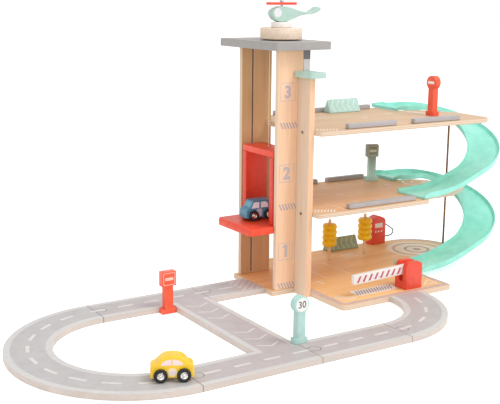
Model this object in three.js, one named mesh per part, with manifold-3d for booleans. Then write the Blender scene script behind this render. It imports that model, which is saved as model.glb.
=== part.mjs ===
// Toy parking garage with a lift, two spiral chutes, a road loop and loose road furniture.
// Millimetres, +Z up. The origin is the middle of the lift tower, on the ground. +X runs along the decks.
import * as THREE from 'three';
import { mergeVertices } from 'three/addons/utils/BufferGeometryUtils.js';
import Module from 'manifold-3d';

const wasm = await Module();
wasm.setup();

// Driving dimensions
const seat = 0.3;               // glue line or loose fit between two pieces
const overrun = 2;              // how far a cutter runs past the faces it cuts
const mergeTolerance = 1e-4;

// Levels and tower
const levelPitch = 120;
const baseThickness = 8;
const floorThickness = 7;
const towerDepth = 43.3;
const towerWidth = 104.7;
const wallHeight = 353.3;
const frontWallThickness = 7.5;
const backWallThickness = 7.7;
const backWallReach = 9.8;
const roofThickness = 11.4;
const roofLeftOverhang = 15.7;
const roofRightOverhang = 38.8;
const roofFrontOverhang = 17;
const roofBackOverhang = 34.3;
const roofCornerRadius = 7;
const slotWidth = 3.6;
const slotX = -2.2;
const slotEndMargin = 2;

// Corner post, its cap and the batten under the roof
const postWidth = 9.4;
const postDepth = 30;
const postBelowRoof = 38.6;
const capThickness = 8.4;
const capLeftOverhang = 7.4;
const capRightOverhang = 11.2;
const capFrontOverhang = 11.5;
const capCornerRadius = 3;
const battenWidth = 12;
const battenDepth = 9;
const screwRadius = 2.2;
const screwHeadHeight = 1.4;
const screwShankRadius = 1.1;
const screwShankLength = 5;
const screwInset = 16;

// Base board
const padOverhang = 5;
const baseFront = 109.4;
const baseLength = 206.4;
const baseCornerRadius = 10;
const baseStepBack = 85;
const printSetback = 39.6;
const printInset = 80;
const printCornerRadius = 72;
const baseBackLength = 243;

// Upper floors
const floorLength = 341;
const floorFront = 46;
const floorBack = 50.3;
const floorCornerRadius = 8;
const floorNoseRadius = 22;
const floorSideLength = 80;
const noseSetback = 34.95;
const noseStep = 11.7;
const thirdMouthSetback = 76.55;
const secondMouthSetback = 66.95;
const landingSetback = 128.55;
const landingDepth = 25;
const landingSlopeSetback = 53.95;
const landingSlopeRise = 23;

// Support rod
const rodSetback = 32.45;
const rodInset = 65;
const rodRadius = 1.7;

// Spiral chutes
const chuteTurnSetback = 12.1;
const chuteBackInset = 25;
const chuteFrontInset = 33;
const chuteHalfWidth = 26;
const chuteMouthClearance = 0.95;
const chuteFlare = 6;
const chuteFlareLength = 30;
const chuteWallHeight = 7;
const chuteLipWallShare = 0.6;
const chuteWallThickness = 2.2;
const chuteWallLean = 1.2;
const chuteFloorThickness = 2.5;
const chuteStartLap = 2;
const chuteEndLap = 3;
const chuteStartLipLength = 10;
const chuteEndLipLength = 6;
const chuteSeatLength = 12;
const chuteDropStartShare = 0.12;
const chuteDropEndShare = 0.95;
const chuteSteps = 60;

// Lift
const liftClearance = 3;
const liftDepth = 38;
const liftRest = 94.7;
const liftFloorThickness = 10.3;
const liftInnerHeight = 101.3;
const liftTopThickness = 9.3;
const liftSideThickness = 10;
const platformLength = 41;
const platformWiden = 3.2;
const platformGap = 1.5;
const platformCornerRadius = 11;
const platformNoseRadius = 7;
const pegClearance = 0.3;
const pegLength = 9;
const pegBelowTop = 12;
const cordRadius = 0.8;
const cordSideStep = 3;

// Winding knob under the helicopter
const knobX = 15.35;
const knobY = -3.35;
const knobRadius = 31;
const knobThickness = 13;
const knobHubRadius = 16.4;
const knobHubHeight = 4.4;
const knobSkirtInner = 24;
const knobSkirtHeight = 3.2;
const knobRoofGap = 0.5;
const axleRadius = 4;
const axleClearance = 0.2;
const cordHoleRadius = 2;
const windingTurns = 2;
const windingStep = 1.45;
const windingCordRadius = 0.5;

// Helicopter
const standRadius = 15.3;
const standHeight = 8;
const heliLength = 86;
const heliHeight = 22;
const heliThickness = 13;
const heliBevel = 1;
const heliNose = 20;
const rotorLength = 52;
const rotorWidth = 8;
const rotorThickness = 3.6;
const rotorGap = 2.2;
const rotorPinRadius = 1.6;
const rotorPinDepth = 6;
const rotorPinHeadRadius = 3;
const rotorPinHeadHeight = 3.2;
const rotorBoreClearance = 0.2;

// Road
const roadWidth = 60;
const roadThickness = 8;
const backRoadY = -3.5;
const frontRoadY = -277;
const turnX = -289;
const crossX = -152.5;
const firstSeamReach = 30.8;
const frontRoadLength = 143.4;
const tabRadius = 8;
const tabNeckWidth = 9;
const tabReach = 9;
const tabFit = 0.4;

// Signs
const signFootHeight = 7;
const signFootStep = 0.4;
const signPostWidth = 12;
const signDepth = 10.3;
const squareFootWidth = 21.4;
const squareSignHeight = 20.8;
const stopSignWidth = 21.4;
const stopSignSetback = 41.5;
const stopSignRoadGap = 0.3;
const stopSignHeight = 60.8;
const parkSignWidth = 20.4;
const parkSignHeight = 62;
const parkSignTurnDegrees = 18;
const roundFootWidth = 19;
const noEntryRadius = 11;
const noEntryHeight = 64.2;
const speedSignRadius = 11.1;
const speedSignHeight = 62.1;
const speedSignOffsetX = 4.9;
const speedSignOffsetY = 27.6;

// Trees, hedges and pump
const trunkRadius = 2.5;
const trunkHeight = 69;
const crownRadius = 12.1;
const crownWaist = 2.3;
const crownLobes = 4;
const crownHeight = 37.4;
const crownRaise = 24.5;
const crownBoreClearance = 0.3;
const hedgeDepth = 20;
const hedgeHeight = 22;
const hedgeLength = 63.5;
const hedgeParapetGap = 0.8;
const hedgeEdgeGap = 0.65;
const pumpWidth = 31;
const pumpDepth = 18;
const pumpHeight = 48;
const pumpShoulder = 9;
const hoseRadius = 1;
const hoseReach = 24.5;
const hoseTop = 32.5;
const hoseBottom = 10.5;

// Barrier
const gateSetback = 65.6;
const gateInset = 23.9;
const gateWidth = 31;
const gateDepth = 25;
const gateHeight = 41;
const gateCornerRadius = 8;
const gateSlotWidth = 8.4;
const gateSlotFloor = 12;
const gateArmLength = 114;
const gateArmHeight = 14;
const gateArmThickness = 7;
const gateArmTail = 7;
const gateArmEndRadius = 2;
const gatePivotOffset = 0.25;
const gatePivotHeight = 29.6;
const gateArmDroopDegrees = 1.7;
const gatePinInset = 3;
const gatePinRadius = 2;
const gateBoreClearance = 0.2;

// Parapet battens
const parapetHeight = 7;
const parapetDepth = 9;
const parapetInset = 4.5;
const parapetChuteGap = 20.4;

// Cars
const carLength = 50;
const carBodyWidth = 20;
const carSill = 4;
const carHeight = 26.5;
const wheelRadius = 8.1;
const wheelWidth = 3.6;
const wheelGap = 0.5;
const wheelBase = 26.6;
const carNose = 11.5;
const carAxleRadius = 1.5;
const carAxleClearance = 0.2;
const hubRadius = 4.4;
const hubBulge = 1;
const carBevel = 1.2;
const yellowCarSetback = 20.4;
const yellowCarOffset = 6;
const blueCarReach = 6;
const blueCarOffset = 8.15;

// Places worked out from the driving dimensions
const towerLeft = -towerDepth / 2;
const towerRight = towerDepth / 2;
const towerFront = -towerWidth / 2;
const towerBack = towerWidth / 2;
const shaftFront = towerFront + frontWallThickness;
const shaftBack = towerBack - backWallThickness;
const roofBottom = baseThickness + wallHeight + seat;
const roofTop = roofBottom + roofThickness;
const postHeight = roofBottom - postBelowRoof;
const deckLeft = towerRight + seat;
const deckBack = towerBack + floorBack;
const deckFront = towerFront - floorFront;
const deckRight = deckLeft + floorLength;
const deckDepth = deckBack - deckFront;
const baseFrontY = towerFront - baseFront;
const levelTop = (level) => baseThickness + (level - 1) * levelPitch;

const mouthY = deckBack - chuteBackInset - chuteHalfWidth - chuteMouthClearance;
const landingX = deckRight - landingSetback;
const chuteStartX = deckRight - secondMouthSetback - chuteStartLap;
const chuteEndX = landingX - chuteEndLap;
const chuteTurnX = deckRight - chuteTurnSetback;
const chuteTurnRadius = (deckDepth - chuteBackInset - chuteFrontInset) / 2;
const chuteTurnY = deckBack - chuteBackInset - chuteTurnRadius;
const windingRadius = knobHubRadius + seat + windingCordRadius;
const cordReach = windingRadius + cordRadius;
const cordX = knobX - Math.sqrt(cordReach * cordReach - cordSideStep * cordSideStep);
const cordY = knobY + cordSideStep;
const firstSeamX = crossX + firstSeamReach;
const secondSeamX = firstSeamX + frontRoadLength;

// Places on the floors, in shares of a floor's length and depth
const alongFloor = (share) => deckLeft + share * floorLength;
const onFloor = ([alongShare, backShare]) => [alongFloor(alongShare), deckFront + backShare * deckDepth];
const treeShares = [[0.3745, 0.707], [0.6006, 0.7254]];
const pumpShares = [0.7801, 0.9484];
const parkSignShares = [0.6837, 0.8376];
const noEntryShares = [0.8007, 0.3391];
const upperHedgeShare = 0.512;
const lowerHedgeShare = 0.5545;

// Finishes
function finish(color, roughness, metalness = 0) {
  return new THREE.MeshStandardMaterial({ color, roughness, metalness });
}
const wood = finish(0xe3bb8c, 0.62);
const palePaint = finish(0xb8b2b2, 0.55);
const roofPaint = finish(0xbab8b5, 0.55);
const mintPlastic = finish(0x9feedb, 0.32);
const mintPaint = finish(0xa9d8c6, 0.5);
const redPaint = finish(0xf2543f, 0.45);
const roadPaint = finish(0xd2cac9, 0.6);
const cordFinish = finish(0xd9c7a4, 0.85);
const steel = finish(0xb9b9bb, 0.28, 0.9);
const whitePaint = finish(0xf0ecea, 0.5);
const yellowPaint = finish(0xf6c92f, 0.42);
const bluePaint = finish(0x5d96ae, 0.42);
const crownPaint = finish(0xd8a512, 0.5);
const greyGreenPaint = finish(0x7e8a72, 0.55);
const tyreRubber = finish(0x191919, 0.6);
const hoseRubber = finish(0x3a3a3a, 0.6);

const garage = new THREE.Group();

function add(name, geometry, material, x = 0, y = 0, z = 0, parent = garage) {
  const mesh = new THREE.Mesh(geometry, material);
  mesh.name = name;
  mesh.position.set(x, y, z);
  parent.add(mesh);
  return mesh;
}

// Solids
function merged(geometry) {
  const plain = geometry.clone();
  plain.deleteAttribute('normal');
  plain.deleteAttribute('uv');
  return mergeVertices(plain, mergeTolerance);
}

function solid(geometry) {
  const plain = merged(geometry);
  const vertProperties = new Float32Array(plain.attributes.position.array);
  const triVerts = new Uint32Array(plain.index.array);
  return new wasm.Manifold(new wasm.Mesh({ numProp: 3, vertProperties, triVerts }));
}

function geometryOf(manifold) {
  const mesh = manifold.getMesh();
  const geometry = new THREE.BufferGeometry();
  geometry.setAttribute('position', new THREE.BufferAttribute(new Float32Array(mesh.vertProperties), 3));
  geometry.setIndex(new THREE.BufferAttribute(new Uint32Array(mesh.triVerts), 1));
  geometry.computeVertexNormals();
  return geometry;
}

function cut(geometry, ...cutters) {
  let body = solid(geometry);
  for (const cutter of cutters) body = body.subtract(solid(cutter));
  return geometryOf(body);
}

function join(geometry, ...others) {
  let body = solid(geometry);
  for (const other of others) body = body.add(solid(other));
  return geometryOf(body);
}

function shared(first, second) {
  return geometryOf(solid(first).intersect(solid(second)));
}

// A box between two corners
function block(x0, x1, y0, y1, z0, z1) {
  const box = new THREE.BoxGeometry(x1 - x0, y1 - y0, z1 - z0);
  return box.translate((x0 + x1) / 2, (y0 + y1) / 2, (z0 + z1) / 2);
}

// An upright cylinder from z0 to z1
function dowel(radius, x, y, z0, z1, sides = 20) {
  const cylinder = new THREE.CylinderGeometry(radius, radius, z1 - z0, sides);
  return cylinder.rotateX(Math.PI / 2).translate(x, y, (z0 + z1) / 2);
}

// A cylinder along Y from y0 to y1
function crossDowel(radius, x, z, y0, y1, sides = 20) {
  return new THREE.CylinderGeometry(radius, radius, y1 - y0, sides).translate(x, (y0 + y1) / 2, z);
}

// A plan outline from corners [x, y, radius]
function outline(corners) {
  const shape = new THREE.Shape();
  const at = (i) => new THREE.Vector2(...corners.at(i % corners.length).slice(0, 2));
  corners.forEach(([x, y, radius = 0], i) => {
    const corner = new THREE.Vector2(x, y);
    const before = at(i - 1).sub(corner).normalize();
    const after = at(i + 1).sub(corner).normalize();
    const reach = radius / Math.tan(Math.acos(before.dot(after)) / 2);
    const from = corner.clone().addScaledVector(before, reach);
    const to = corner.clone().addScaledVector(after, reach);
    if (i === 0) shape.moveTo(from.x, from.y);
    else shape.lineTo(from.x, from.y);
    if (radius > 0) shape.quadraticCurveTo(x, y, to.x, to.y);
  });
  return shape;
}

function rounded(x0, x1, y0, y1, radius) {
  return outline([[x0, y0, radius], [x1, y0, radius], [x1, y1, radius], [x0, y1, radius]]);
}

// A board lying flat, from its plan outline
function board(shape, thickness, curveSegments = 8) {
  return new THREE.ExtrudeGeometry(shape, { depth: thickness, bevelEnabled: false, curveSegments });
}

// A board standing in the X-Z plane, centred on Y = 0, from its front outline
function standing(shape, thickness, curveSegments = 8, bevel = 0) {
  const options = { depth: thickness - 2 * bevel, curveSegments, bevelEnabled: bevel > 0 };
  Object.assign(options, { bevelThickness: bevel, bevelSize: bevel, bevelOffset: -bevel, bevelSegments: 2 });
  const geometry = new THREE.ExtrudeGeometry(shape, options);
  return geometry.rotateX(Math.PI / 2).translate(0, thickness / 2 - bevel, 0);
}

// Base board
const base = new THREE.Shape();
const baseRight = deckLeft + baseLength;
base.moveTo(towerLeft - padOverhang, towerFront);
base.lineTo(deckLeft, towerFront);
base.lineTo(deckLeft, baseFrontY + baseCornerRadius);
base.quadraticCurveTo(deckLeft, baseFrontY, deckLeft + baseCornerRadius, baseFrontY);
base.lineTo(baseRight - baseCornerRadius / 2, baseFrontY);
base.quadraticCurveTo(baseRight, baseFrontY, baseRight, baseFrontY + baseCornerRadius / 2);
base.lineTo(baseRight, baseFrontY + baseStepBack);
const printX = deckRight - printSetback;
const printY = deckBack - printInset;
base.absarc(printX, printY, printCornerRadius, -Math.PI / 3, Math.PI / 2, false);
base.bezierCurveTo(
  printX - printCornerRadius / 2, printY + printCornerRadius,
  deckLeft + baseBackLength + printCornerRadius / 2, deckBack,
  deckLeft + baseBackLength, deckBack,
);
base.lineTo(deckLeft + floorCornerRadius, deckBack);
base.quadraticCurveTo(deckLeft, deckBack, deckLeft, deckBack - floorCornerRadius);
base.lineTo(deckLeft, towerBack + padOverhang);
base.lineTo(towerLeft - padOverhang, towerBack + padOverhang);
base.closePath();
add('base_board', board(base, baseThickness, 14), wood);

// Tower walls
const wallZ0 = baseThickness + seat;
const wallTop = roofBottom - seat;
const wallSpan = [towerLeft, towerRight];
add('front_wall', block(...wallSpan, towerFront, shaftFront, wallZ0, wallTop), wood);
const guideSlot = block(
  slotX - slotWidth / 2, slotX + slotWidth / 2,
  shaftBack - overrun, towerBack + overrun,
  wallZ0 + slotEndMargin, wallTop - slotEndMargin,
);
const backWallRight = towerRight + backWallReach;
const backWall = block(towerLeft, backWallRight, shaftBack, towerBack, wallZ0, wallTop);
add('back_wall', cut(backWall, guideSlot), wood);

// Corner post in front of the tower, its cap and its screws
const postRight = towerRight;
const postLeft = postRight - postWidth;
const postBack = towerFront - seat;
const postFront = postBack - postDepth;
const screwY = postFront + screwInset;
const screwHole = (z) => {
  const radius = screwShankRadius + seat;
  const length = screwShankLength + seat + overrun;
  const hole = new THREE.CylinderGeometry(radius, radius, length, 12);
  return hole.rotateZ(Math.PI / 2).translate(postLeft + length / 2 - overrun, screwY, z);
};
const screwHeights = [2, 3].map((level) => levelTop(level) - floorThickness / 2);
const post = block(postLeft, postRight, postFront, postBack, 0, postHeight);
add('corner_post', cut(post, ...screwHeights.map(screwHole)), wood);
const capOutline = rounded(
  postLeft - capLeftOverhang, postRight + capRightOverhang,
  postFront - capFrontOverhang, postBack, capCornerRadius,
);
add('post_cap', board(capOutline, capThickness, 4), mintPaint, 0, 0, postHeight + seat);
const battenBottom = levelTop(3) + seat;
const battenLeft = towerRight + seat;
const battenRight = battenLeft + battenWidth;
const batten = block(battenLeft, battenRight, towerFront, towerFront + battenDepth, battenBottom, wallTop);
add('corner_batten', batten, palePaint);
[2, 3].forEach((level, i) => {
  const profile = [
    [0, 0], [screwRadius, 0], [screwRadius * 0.8, screwHeadHeight * 0.7],
    [screwRadius * 0.3, screwHeadHeight], [0, screwHeadHeight],
  ].map(([r, h]) => new THREE.Vector2(r, h));
  const head = new THREE.LatheGeometry(profile, 14);
  const shank = new THREE.CylinderGeometry(screwShankRadius, screwShankRadius, screwShankLength, 12);
  shank.translate(0, -screwShankLength / 2 + screwHeadHeight / 2, 0);
  const screw = join(head, shank).rotateZ(Math.PI / 2);
  add(`post_screw_${level}`, screw, steel, postLeft - seat, screwY, screwHeights[i]);
});

// Roof plate, with a bore for the knob's axle and a hole for the cord
const roofOutline = rounded(
  towerLeft - roofLeftOverhang, towerRight + roofRightOverhang,
  towerFront - roofFrontOverhang, towerBack + roofBackOverhang, roofCornerRadius,
);
const axleBore = dowel(axleRadius + axleClearance, knobX, knobY, -overrun, roofThickness + overrun);
const cordHole = dowel(cordHoleRadius, cordX, cordY, -overrun, roofThickness + overrun, 12);
add('roof_plate', cut(board(roofOutline, roofThickness), axleBore, cordHole), roofPaint, 0, 0, roofBottom);

// Upper floors: one outline with the chute's mouth at the back right, level 2 with its landing at the front.
// The wider back wall passes through a notch at their left edge.
function floorOutline(mouthX, hasLanding) {
  const sideY = deckFront + floorSideLength;
  const corners = [[deckLeft, deckFront, floorCornerRadius]];
  if (hasLanding) {
    const stepY = deckFront + landingDepth;
    corners.push([landingX, deckFront], [landingX, stepY], [deckRight - landingSlopeSetback, stepY]);
    corners.push([deckRight, stepY + landingSlopeRise + floorCornerRadius, floorCornerRadius]);
  } else {
    corners.push([deckRight, deckFront, floorNoseRadius]);
  }
  corners.push([deckRight, sideY, floorCornerRadius]);
  corners.push([deckRight - noseSetback, mouthY - noseStep, floorNoseRadius], [mouthX, mouthY]);
  corners.push([mouthX, deckBack], [deckLeft, deckBack, floorCornerRadius]);
  return outline(corners);
}
const wallNotch = block(
  deckLeft - overrun, backWallRight + seat, shaftBack - seat, towerBack + seat,
  -overrun, floorThickness + overrun,
);
const rodX = deckRight - rodSetback;
const rodY = deckFront + rodInset;
const rodHole = dowel(rodRadius + seat, rodX, rodY, -overrun, floorThickness + overrun, 12);
const secondOutline = floorOutline(deckRight - secondMouthSetback, true);
const secondFloor = cut(board(secondOutline, floorThickness), wallNotch, rodHole);
add('level_2_floor', secondFloor, wood, 0, 0, levelTop(2) - floorThickness);
const thirdOutline = floorOutline(deckRight - thirdMouthSetback, false);
const thirdFloor = cut(board(thirdOutline, floorThickness), wallNotch);
add('level_3_floor', thirdFloor, wood, 0, 0, levelTop(3) - floorThickness);
const rodTop = levelTop(3) - floorThickness - seat;
add('support_rod', dowel(rodRadius, rodX, rodY, baseThickness + seat, rodTop, 12), steel);

// Spiral chute: its lip lies on one deck, its floor then runs flush with it and half a turn down to the next
function chuteGeometry() {
  const straightIn = chuteTurnX - chuteStartX;
  const turn = Math.PI * chuteTurnRadius;
  const straightOut = chuteTurnX - chuteEndX;
  const length = straightIn + turn + straightOut;
  const place = (s) => {
    const after = s - straightIn - turn;
    if (s < straightIn) return [chuteStartX + s, chuteTurnY + chuteTurnRadius, Math.PI / 2];
    if (after > 0) return [chuteTurnX - after, chuteTurnY - chuteTurnRadius, -Math.PI / 2];
    const angle = Math.PI / 2 - (s - straightIn) / chuteTurnRadius;
    const x = chuteTurnX + chuteTurnRadius * Math.cos(angle);
    return [x, chuteTurnY + chuteTurnRadius * Math.sin(angle), angle];
  };
  const positions = [];
  const indices = [];
  const wall = chuteWallThickness;
  const lean = chuteWallLean;
  for (let step = 0; step <= chuteSteps; step += 1) {
    const s = (step / chuteSteps) * length;
    const fromEnd = Math.min(s, length - s);
    const near = Math.max(0, 1 - fromEnd / chuteFlareLength);
    const half = chuteHalfWidth + chuteFlare * near * near;
    const wallShare = 1 - near * near * (1 - chuteLipWallShare);
    const rim = chuteFloorThickness + chuteWallHeight * wallShare;
    const seated = 1 - THREE.MathUtils.smoothstep(s, chuteSeatLength, 2 * chuteSeatLength);
    const drop = THREE.MathUtils.smoothstep(s / length, chuteDropStartShare, chuteDropEndShare);
    const [x, y, angle] = place(s);
    const lip = (s < length / 2 ? -chuteStartLipLength : chuteEndLipLength) * near;
    const floorZ = (chuteFloorThickness + seat) * seated - (levelPitch - chuteFloorThickness - seat) * drop;
    const section = [
      [-half, 0], [half, 0], [half + lean, rim], [half + lean - wall, rim],
      [half - wall, chuteFloorThickness * 1.6], [half - 2 * wall, chuteFloorThickness],
      [-half + 2 * wall, chuteFloorThickness], [-half + wall, chuteFloorThickness * 1.6],
      [-half - lean + wall, rim], [-half - lean, rim],
    ];
    for (const [across, up] of section) {
      const share = across / half;
      const along = lip * share * share;
      const px = x + across * Math.cos(angle) + along * Math.sin(angle);
      const py = y + across * Math.sin(angle) - along * Math.cos(angle);
      positions.push(px, py, up + floorZ);
    }
  }
  const ring = positions.length / 3 / (chuteSteps + 1);
  for (let step = 0; step < chuteSteps; step += 1) {
    for (let k = 0; k < ring; k += 1) {
      const a = step * ring + k;
      const b = step * ring + ((k + 1) % ring);
      indices.push(a, b, a + ring, b, b + ring, a + ring);
    }
  }
  const contour = [];
  for (let k = 1; k < 3 * ring; k += 3) contour.push(new THREE.Vector2(positions[k], positions[k + 1]));
  const last = chuteSteps * ring;
  for (const [a, b, c] of THREE.ShapeUtils.triangulateShape(contour, [])) {
    indices.push(a, c, b, last + a, last + b, last + c);
  }
  const geometry = new THREE.BufferGeometry();
  geometry.setAttribute('position', new THREE.Float32BufferAttribute(positions, 3));
  geometry.setIndex(indices);
  geometry.computeVertexNormals();
  return geometry;
}
const chute = chuteGeometry();
add('upper_chute', chute, mintPlastic, 0, 0, levelTop(3) - chuteFloorThickness);
add('lower_chute', chute.clone(), mintPlastic, 0, 0, levelTop(2) - chuteFloorThickness);

// Lift: floor with its platform, two sides, a top, a guide peg and the cord
const lift = new THREE.Group();
lift.position.set(0, 0, liftRest);
garage.add(lift);
const liftLeft = towerLeft;
const liftRight = liftLeft + liftDepth;
const liftFront = shaftFront + liftClearance;
const liftBack = shaftBack - liftClearance;
const platformRight = towerLeft - platformGap;
const platformLeft = platformRight - platformLength;
const platformFront = shaftFront - platformWiden;
const platformBack = shaftBack + platformWiden;
const liftPlan = outline([
  [platformLeft, platformFront, platformCornerRadius / 2], [platformRight, platformFront],
  [platformRight, liftFront], [liftRight, liftFront], [liftRight, liftBack],
  [platformRight, liftBack], [platformRight, platformBack],
  [platformLeft, platformBack, platformCornerRadius],
]);
const liftSideView = outline([
  [platformLeft, 0], [liftRight, 0], [liftRight, liftFloorThickness],
  [platformLeft, liftFloorThickness, platformNoseRadius],
]);
const liftSideCutter = standing(liftSideView, platformBack - platformFront + overrun, 5);
liftSideCutter.translate(0, (platformBack + platformFront) / 2, 0);
add('lift_floor', shared(board(liftPlan, liftFloorThickness, 5), liftSideCutter), redPaint, 0, 0, 0, lift);
const sideZ0 = liftFloorThickness + seat;
const sideZ1 = liftFloorThickness + liftInnerHeight - seat;
const liftSpan = [liftLeft, liftRight];
const frontSide = block(...liftSpan, liftFront, liftFront + liftSideThickness, sideZ0, sideZ1);
add('lift_front_side', frontSide, redPaint, 0, 0, 0, lift);
const backSide = block(...liftSpan, liftBack - liftSideThickness, liftBack, sideZ0, sideZ1);
add('lift_back_side', backSide, redPaint, 0, 0, 0, lift);
const liftTopZ0 = liftFloorThickness + liftInnerHeight;
const liftHeight = liftTopZ0 + liftTopThickness;
add('lift_top', block(...liftSpan, liftFront, liftBack, liftTopZ0, liftHeight), redPaint, 0, 0, 0, lift);
const pegRadius = slotWidth / 2 - pegClearance;
const pegY0 = liftBack + seat;
const peg = crossDowel(pegRadius, slotX, liftTopZ0 - pegBelowTop, pegY0, pegY0 + pegLength, 12);
add('lift_guide_peg', peg, steel, 0, 0, 0, lift);
const cordTop = roofTop + knobRoofGap;
const liftCord = dowel(cordRadius, cordX, cordY, liftRest + liftHeight + seat, cordTop, 8);
add('lift_cord', liftCord, cordFinish);

// Winding knob: a wooden disc on a hub that winds the cord under the disc's skirt, pinned through the roof
const knob = new THREE.Group();
knob.position.set(knobX, knobY, roofTop + knobRoofGap);
garage.add(knob);
const knobProfile = [
  [axleRadius + seat, 0], [knobHubRadius, 0], [knobHubRadius, knobHubHeight], [knobSkirtInner, knobHubHeight],
  [knobSkirtInner, knobHubHeight - knobSkirtHeight], [knobRadius, knobHubHeight - knobSkirtHeight],
  [knobRadius, knobHubHeight + knobThickness], [axleRadius + seat, knobHubHeight + knobThickness],
  [axleRadius + seat, 0],
].map(([r, z]) => new THREE.Vector2(r, z));
add('helipad_knob', new THREE.LatheGeometry(knobProfile, 40).rotateX(Math.PI / 2), wood, 0, 0, 0, knob);
const axle = dowel(axleRadius, 0, 0, -roofThickness - knobRoofGap, knobHubHeight + knobThickness, 16);
add('knob_axle', axle, wood, 0, 0, 0, knob);

// The cord's turns on the hub, from the cord's hole in the roof
const windingStart = Math.atan2(cordY - knobY, cordX - knobX);
class Winding extends THREE.Curve {
  getPoint(t, target = new THREE.Vector3()) {
    const angle = windingStart - t * windingTurns * 2 * Math.PI;
    const z = windingCordRadius + seat + t * windingTurns * windingStep;
    return target.set(windingRadius * Math.cos(angle), windingRadius * Math.sin(angle), z);
  }
}
const cordSection = new THREE.Shape();
cordSection.absarc(0, 0, windingCordRadius, 0, 2 * Math.PI, false);
const windingSteps = 24 * windingTurns;
const windingPath = new Winding();
const windingPoints = windingPath.getPoints(windingSteps);
let windingGap = Infinity;
windingPoints.forEach((point, i) => {
  for (const other of windingPoints.slice(i + windingSteps / windingTurns / 2)) {
    windingGap = Math.min(windingGap, point.distanceTo(other) - 2 * windingCordRadius);
  }
});
console.log(`Least gap between the winding's turns: ${windingGap.toFixed(2)} mm`);
const windingOptions = { steps: windingSteps, extrudePath: windingPath, curveSegments: 5 };
add('cord_winding', new THREE.ExtrudeGeometry(cordSection, windingOptions), cordFinish, 0, 0, 0, knob);

// Helicopter: stand, body, rotor and its pin
const knobTop = knobHubHeight + knobThickness;
const standZ0 = knobTop + seat;
const stand = dowel(standRadius, 0, 0, standZ0, standZ0 + standHeight, 32);
add('helicopter_stand', stand, whitePaint, 0, 0, 0, knob);
const heliShares = [
  [0, 0.59], [0.07, 0.86], [0.22, 1], [0.4, 0.89], [0.61, 0.66], [0.77, 0.62], [0.87, 0.79], [0.95, 0.96],
  [1, 0.82], [0.95, 0.66], [0.85, 0.53], [0.71, 0.48], [0.57, 0.39], [0.44, 0.2], [0.32, 0.03], [0.16, 0],
  [0.05, 0.2], [0, 0.59],
];
const heliPoints = heliShares.map(([x, z]) => new THREE.Vector2(x * heliLength - heliNose, z * heliHeight));
const heliShape = new THREE.Shape(new THREE.SplineCurve(heliPoints).getPoints(40).slice(0, -1));
const heliZ0 = standZ0 + standHeight + seat;
const heliBoreFoot = heliHeight - rotorPinDepth - seat;
const heliBore = dowel(rotorPinRadius + seat, 0, 0, heliBoreFoot, heliHeight + overrun, 12);
const heliBody = cut(standing(heliShape, heliThickness, 1, heliBevel), heliBore);
add('helicopter_body', heliBody, mintPaint, 0, 0, heliZ0, knob);
const rotorZ0 = heliZ0 + heliHeight + rotorGap;
const rotorSpan = [-rotorLength / 2, rotorLength / 2];
const rotorOutline = rounded(...rotorSpan, -rotorWidth / 2, rotorWidth / 2, rotorWidth / 2.2);
const rotorBore = dowel(rotorPinRadius + rotorBoreClearance, 0, 0, -overrun, rotorThickness + overrun, 12);
add('rotor_blade', cut(board(rotorOutline, rotorThickness, 4), rotorBore), redPaint, 0, 0, rotorZ0, knob);
const pinFoot = heliZ0 + heliHeight - rotorPinDepth;
const pinHead = rotorZ0 + rotorThickness + seat;
const pinProfile = [
  [0, pinFoot], [rotorPinRadius, pinFoot], [rotorPinRadius, pinHead], [rotorPinHeadRadius, pinHead],
  [rotorPinHeadRadius, pinHead + rotorPinHeadHeight / 2],
  [rotorPinHeadRadius / 2, pinHead + rotorPinHeadHeight],
  [0, pinHead + rotorPinHeadHeight],
].map(([r, z]) => new THREE.Vector2(r, z));
add('rotor_pin', new THREE.LatheGeometry(pinProfile, 14).rotateX(Math.PI / 2), steel, 0, 0, 0, knob);

// Road pieces, with a round tab on one side of each seam and its socket on the other
const roadHalf = roadWidth / 2;
function tab(x, y, angle, fit) {
  const head = dowel(tabRadius + fit, tabReach, 0, 0, roadThickness, 20);
  const neck = block(-overrun, tabReach, -tabNeckWidth / 2 - fit, tabNeckWidth / 2 + fit, 0, roadThickness);
  const key = join(head, neck).rotateZ(angle).translate(x, y, 0);
  return fit > 0 ? key.scale(1, 1, 3).translate(0, 0, -roadThickness) : key;
}
const socket = (x, y, angle) => tab(x, y, angle, tabFit);
const key = (x, y, angle) => tab(x, y, angle, 0);
const turnRadius = (backRoadY - frontRoadY) / 2;
const turnY = (backRoadY + frontRoadY) / 2;
const roadRow = (x0, x1, y) => block(x0 + seat, x1, y - roadHalf, y + roadHalf, 0, roadThickness);

const uTurn = new THREE.Shape();
uTurn.absarc(turnX, turnY, turnRadius + roadHalf, Math.PI / 2, 1.5 * Math.PI, false);
uTurn.absarc(turnX, turnY, turnRadius - roadHalf, 1.5 * Math.PI, Math.PI / 2, true);
const uTurnKeys = [key(turnX, backRoadY, 0), key(turnX, frontRoadY, 0)];
add('track_u_turn', join(board(uTurn, roadThickness, 28), ...uTurnKeys), roadPaint);

const crossRoad = block(crossX - roadHalf, crossX + roadHalf, frontRoadY, backRoadY, 0, roadThickness);
let crossing = join(
  roadRow(turnX, firstSeamX, backRoadY), roadRow(turnX, firstSeamX, frontRoadY), crossRoad,
  key(firstSeamX, backRoadY, 0), key(firstSeamX, frontRoadY, 0),
);
crossing = cut(crossing, socket(turnX, backRoadY, 0), socket(turnX, frontRoadY, 0));
add('track_crossing', crossing, roadPaint);

const towerRoad = roadRow(firstSeamX, towerLeft - padOverhang - seat, backRoadY);
add('track_tower_straight', cut(towerRoad, socket(firstSeamX, backRoadY, 0)), roadPaint);
const frontRoad = join(roadRow(firstSeamX, secondSeamX, frontRoadY), key(secondSeamX, frontRoadY, 0));
add('track_front_straight', cut(frontRoad, socket(firstSeamX, frontRoadY, 0)), roadPaint);

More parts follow.
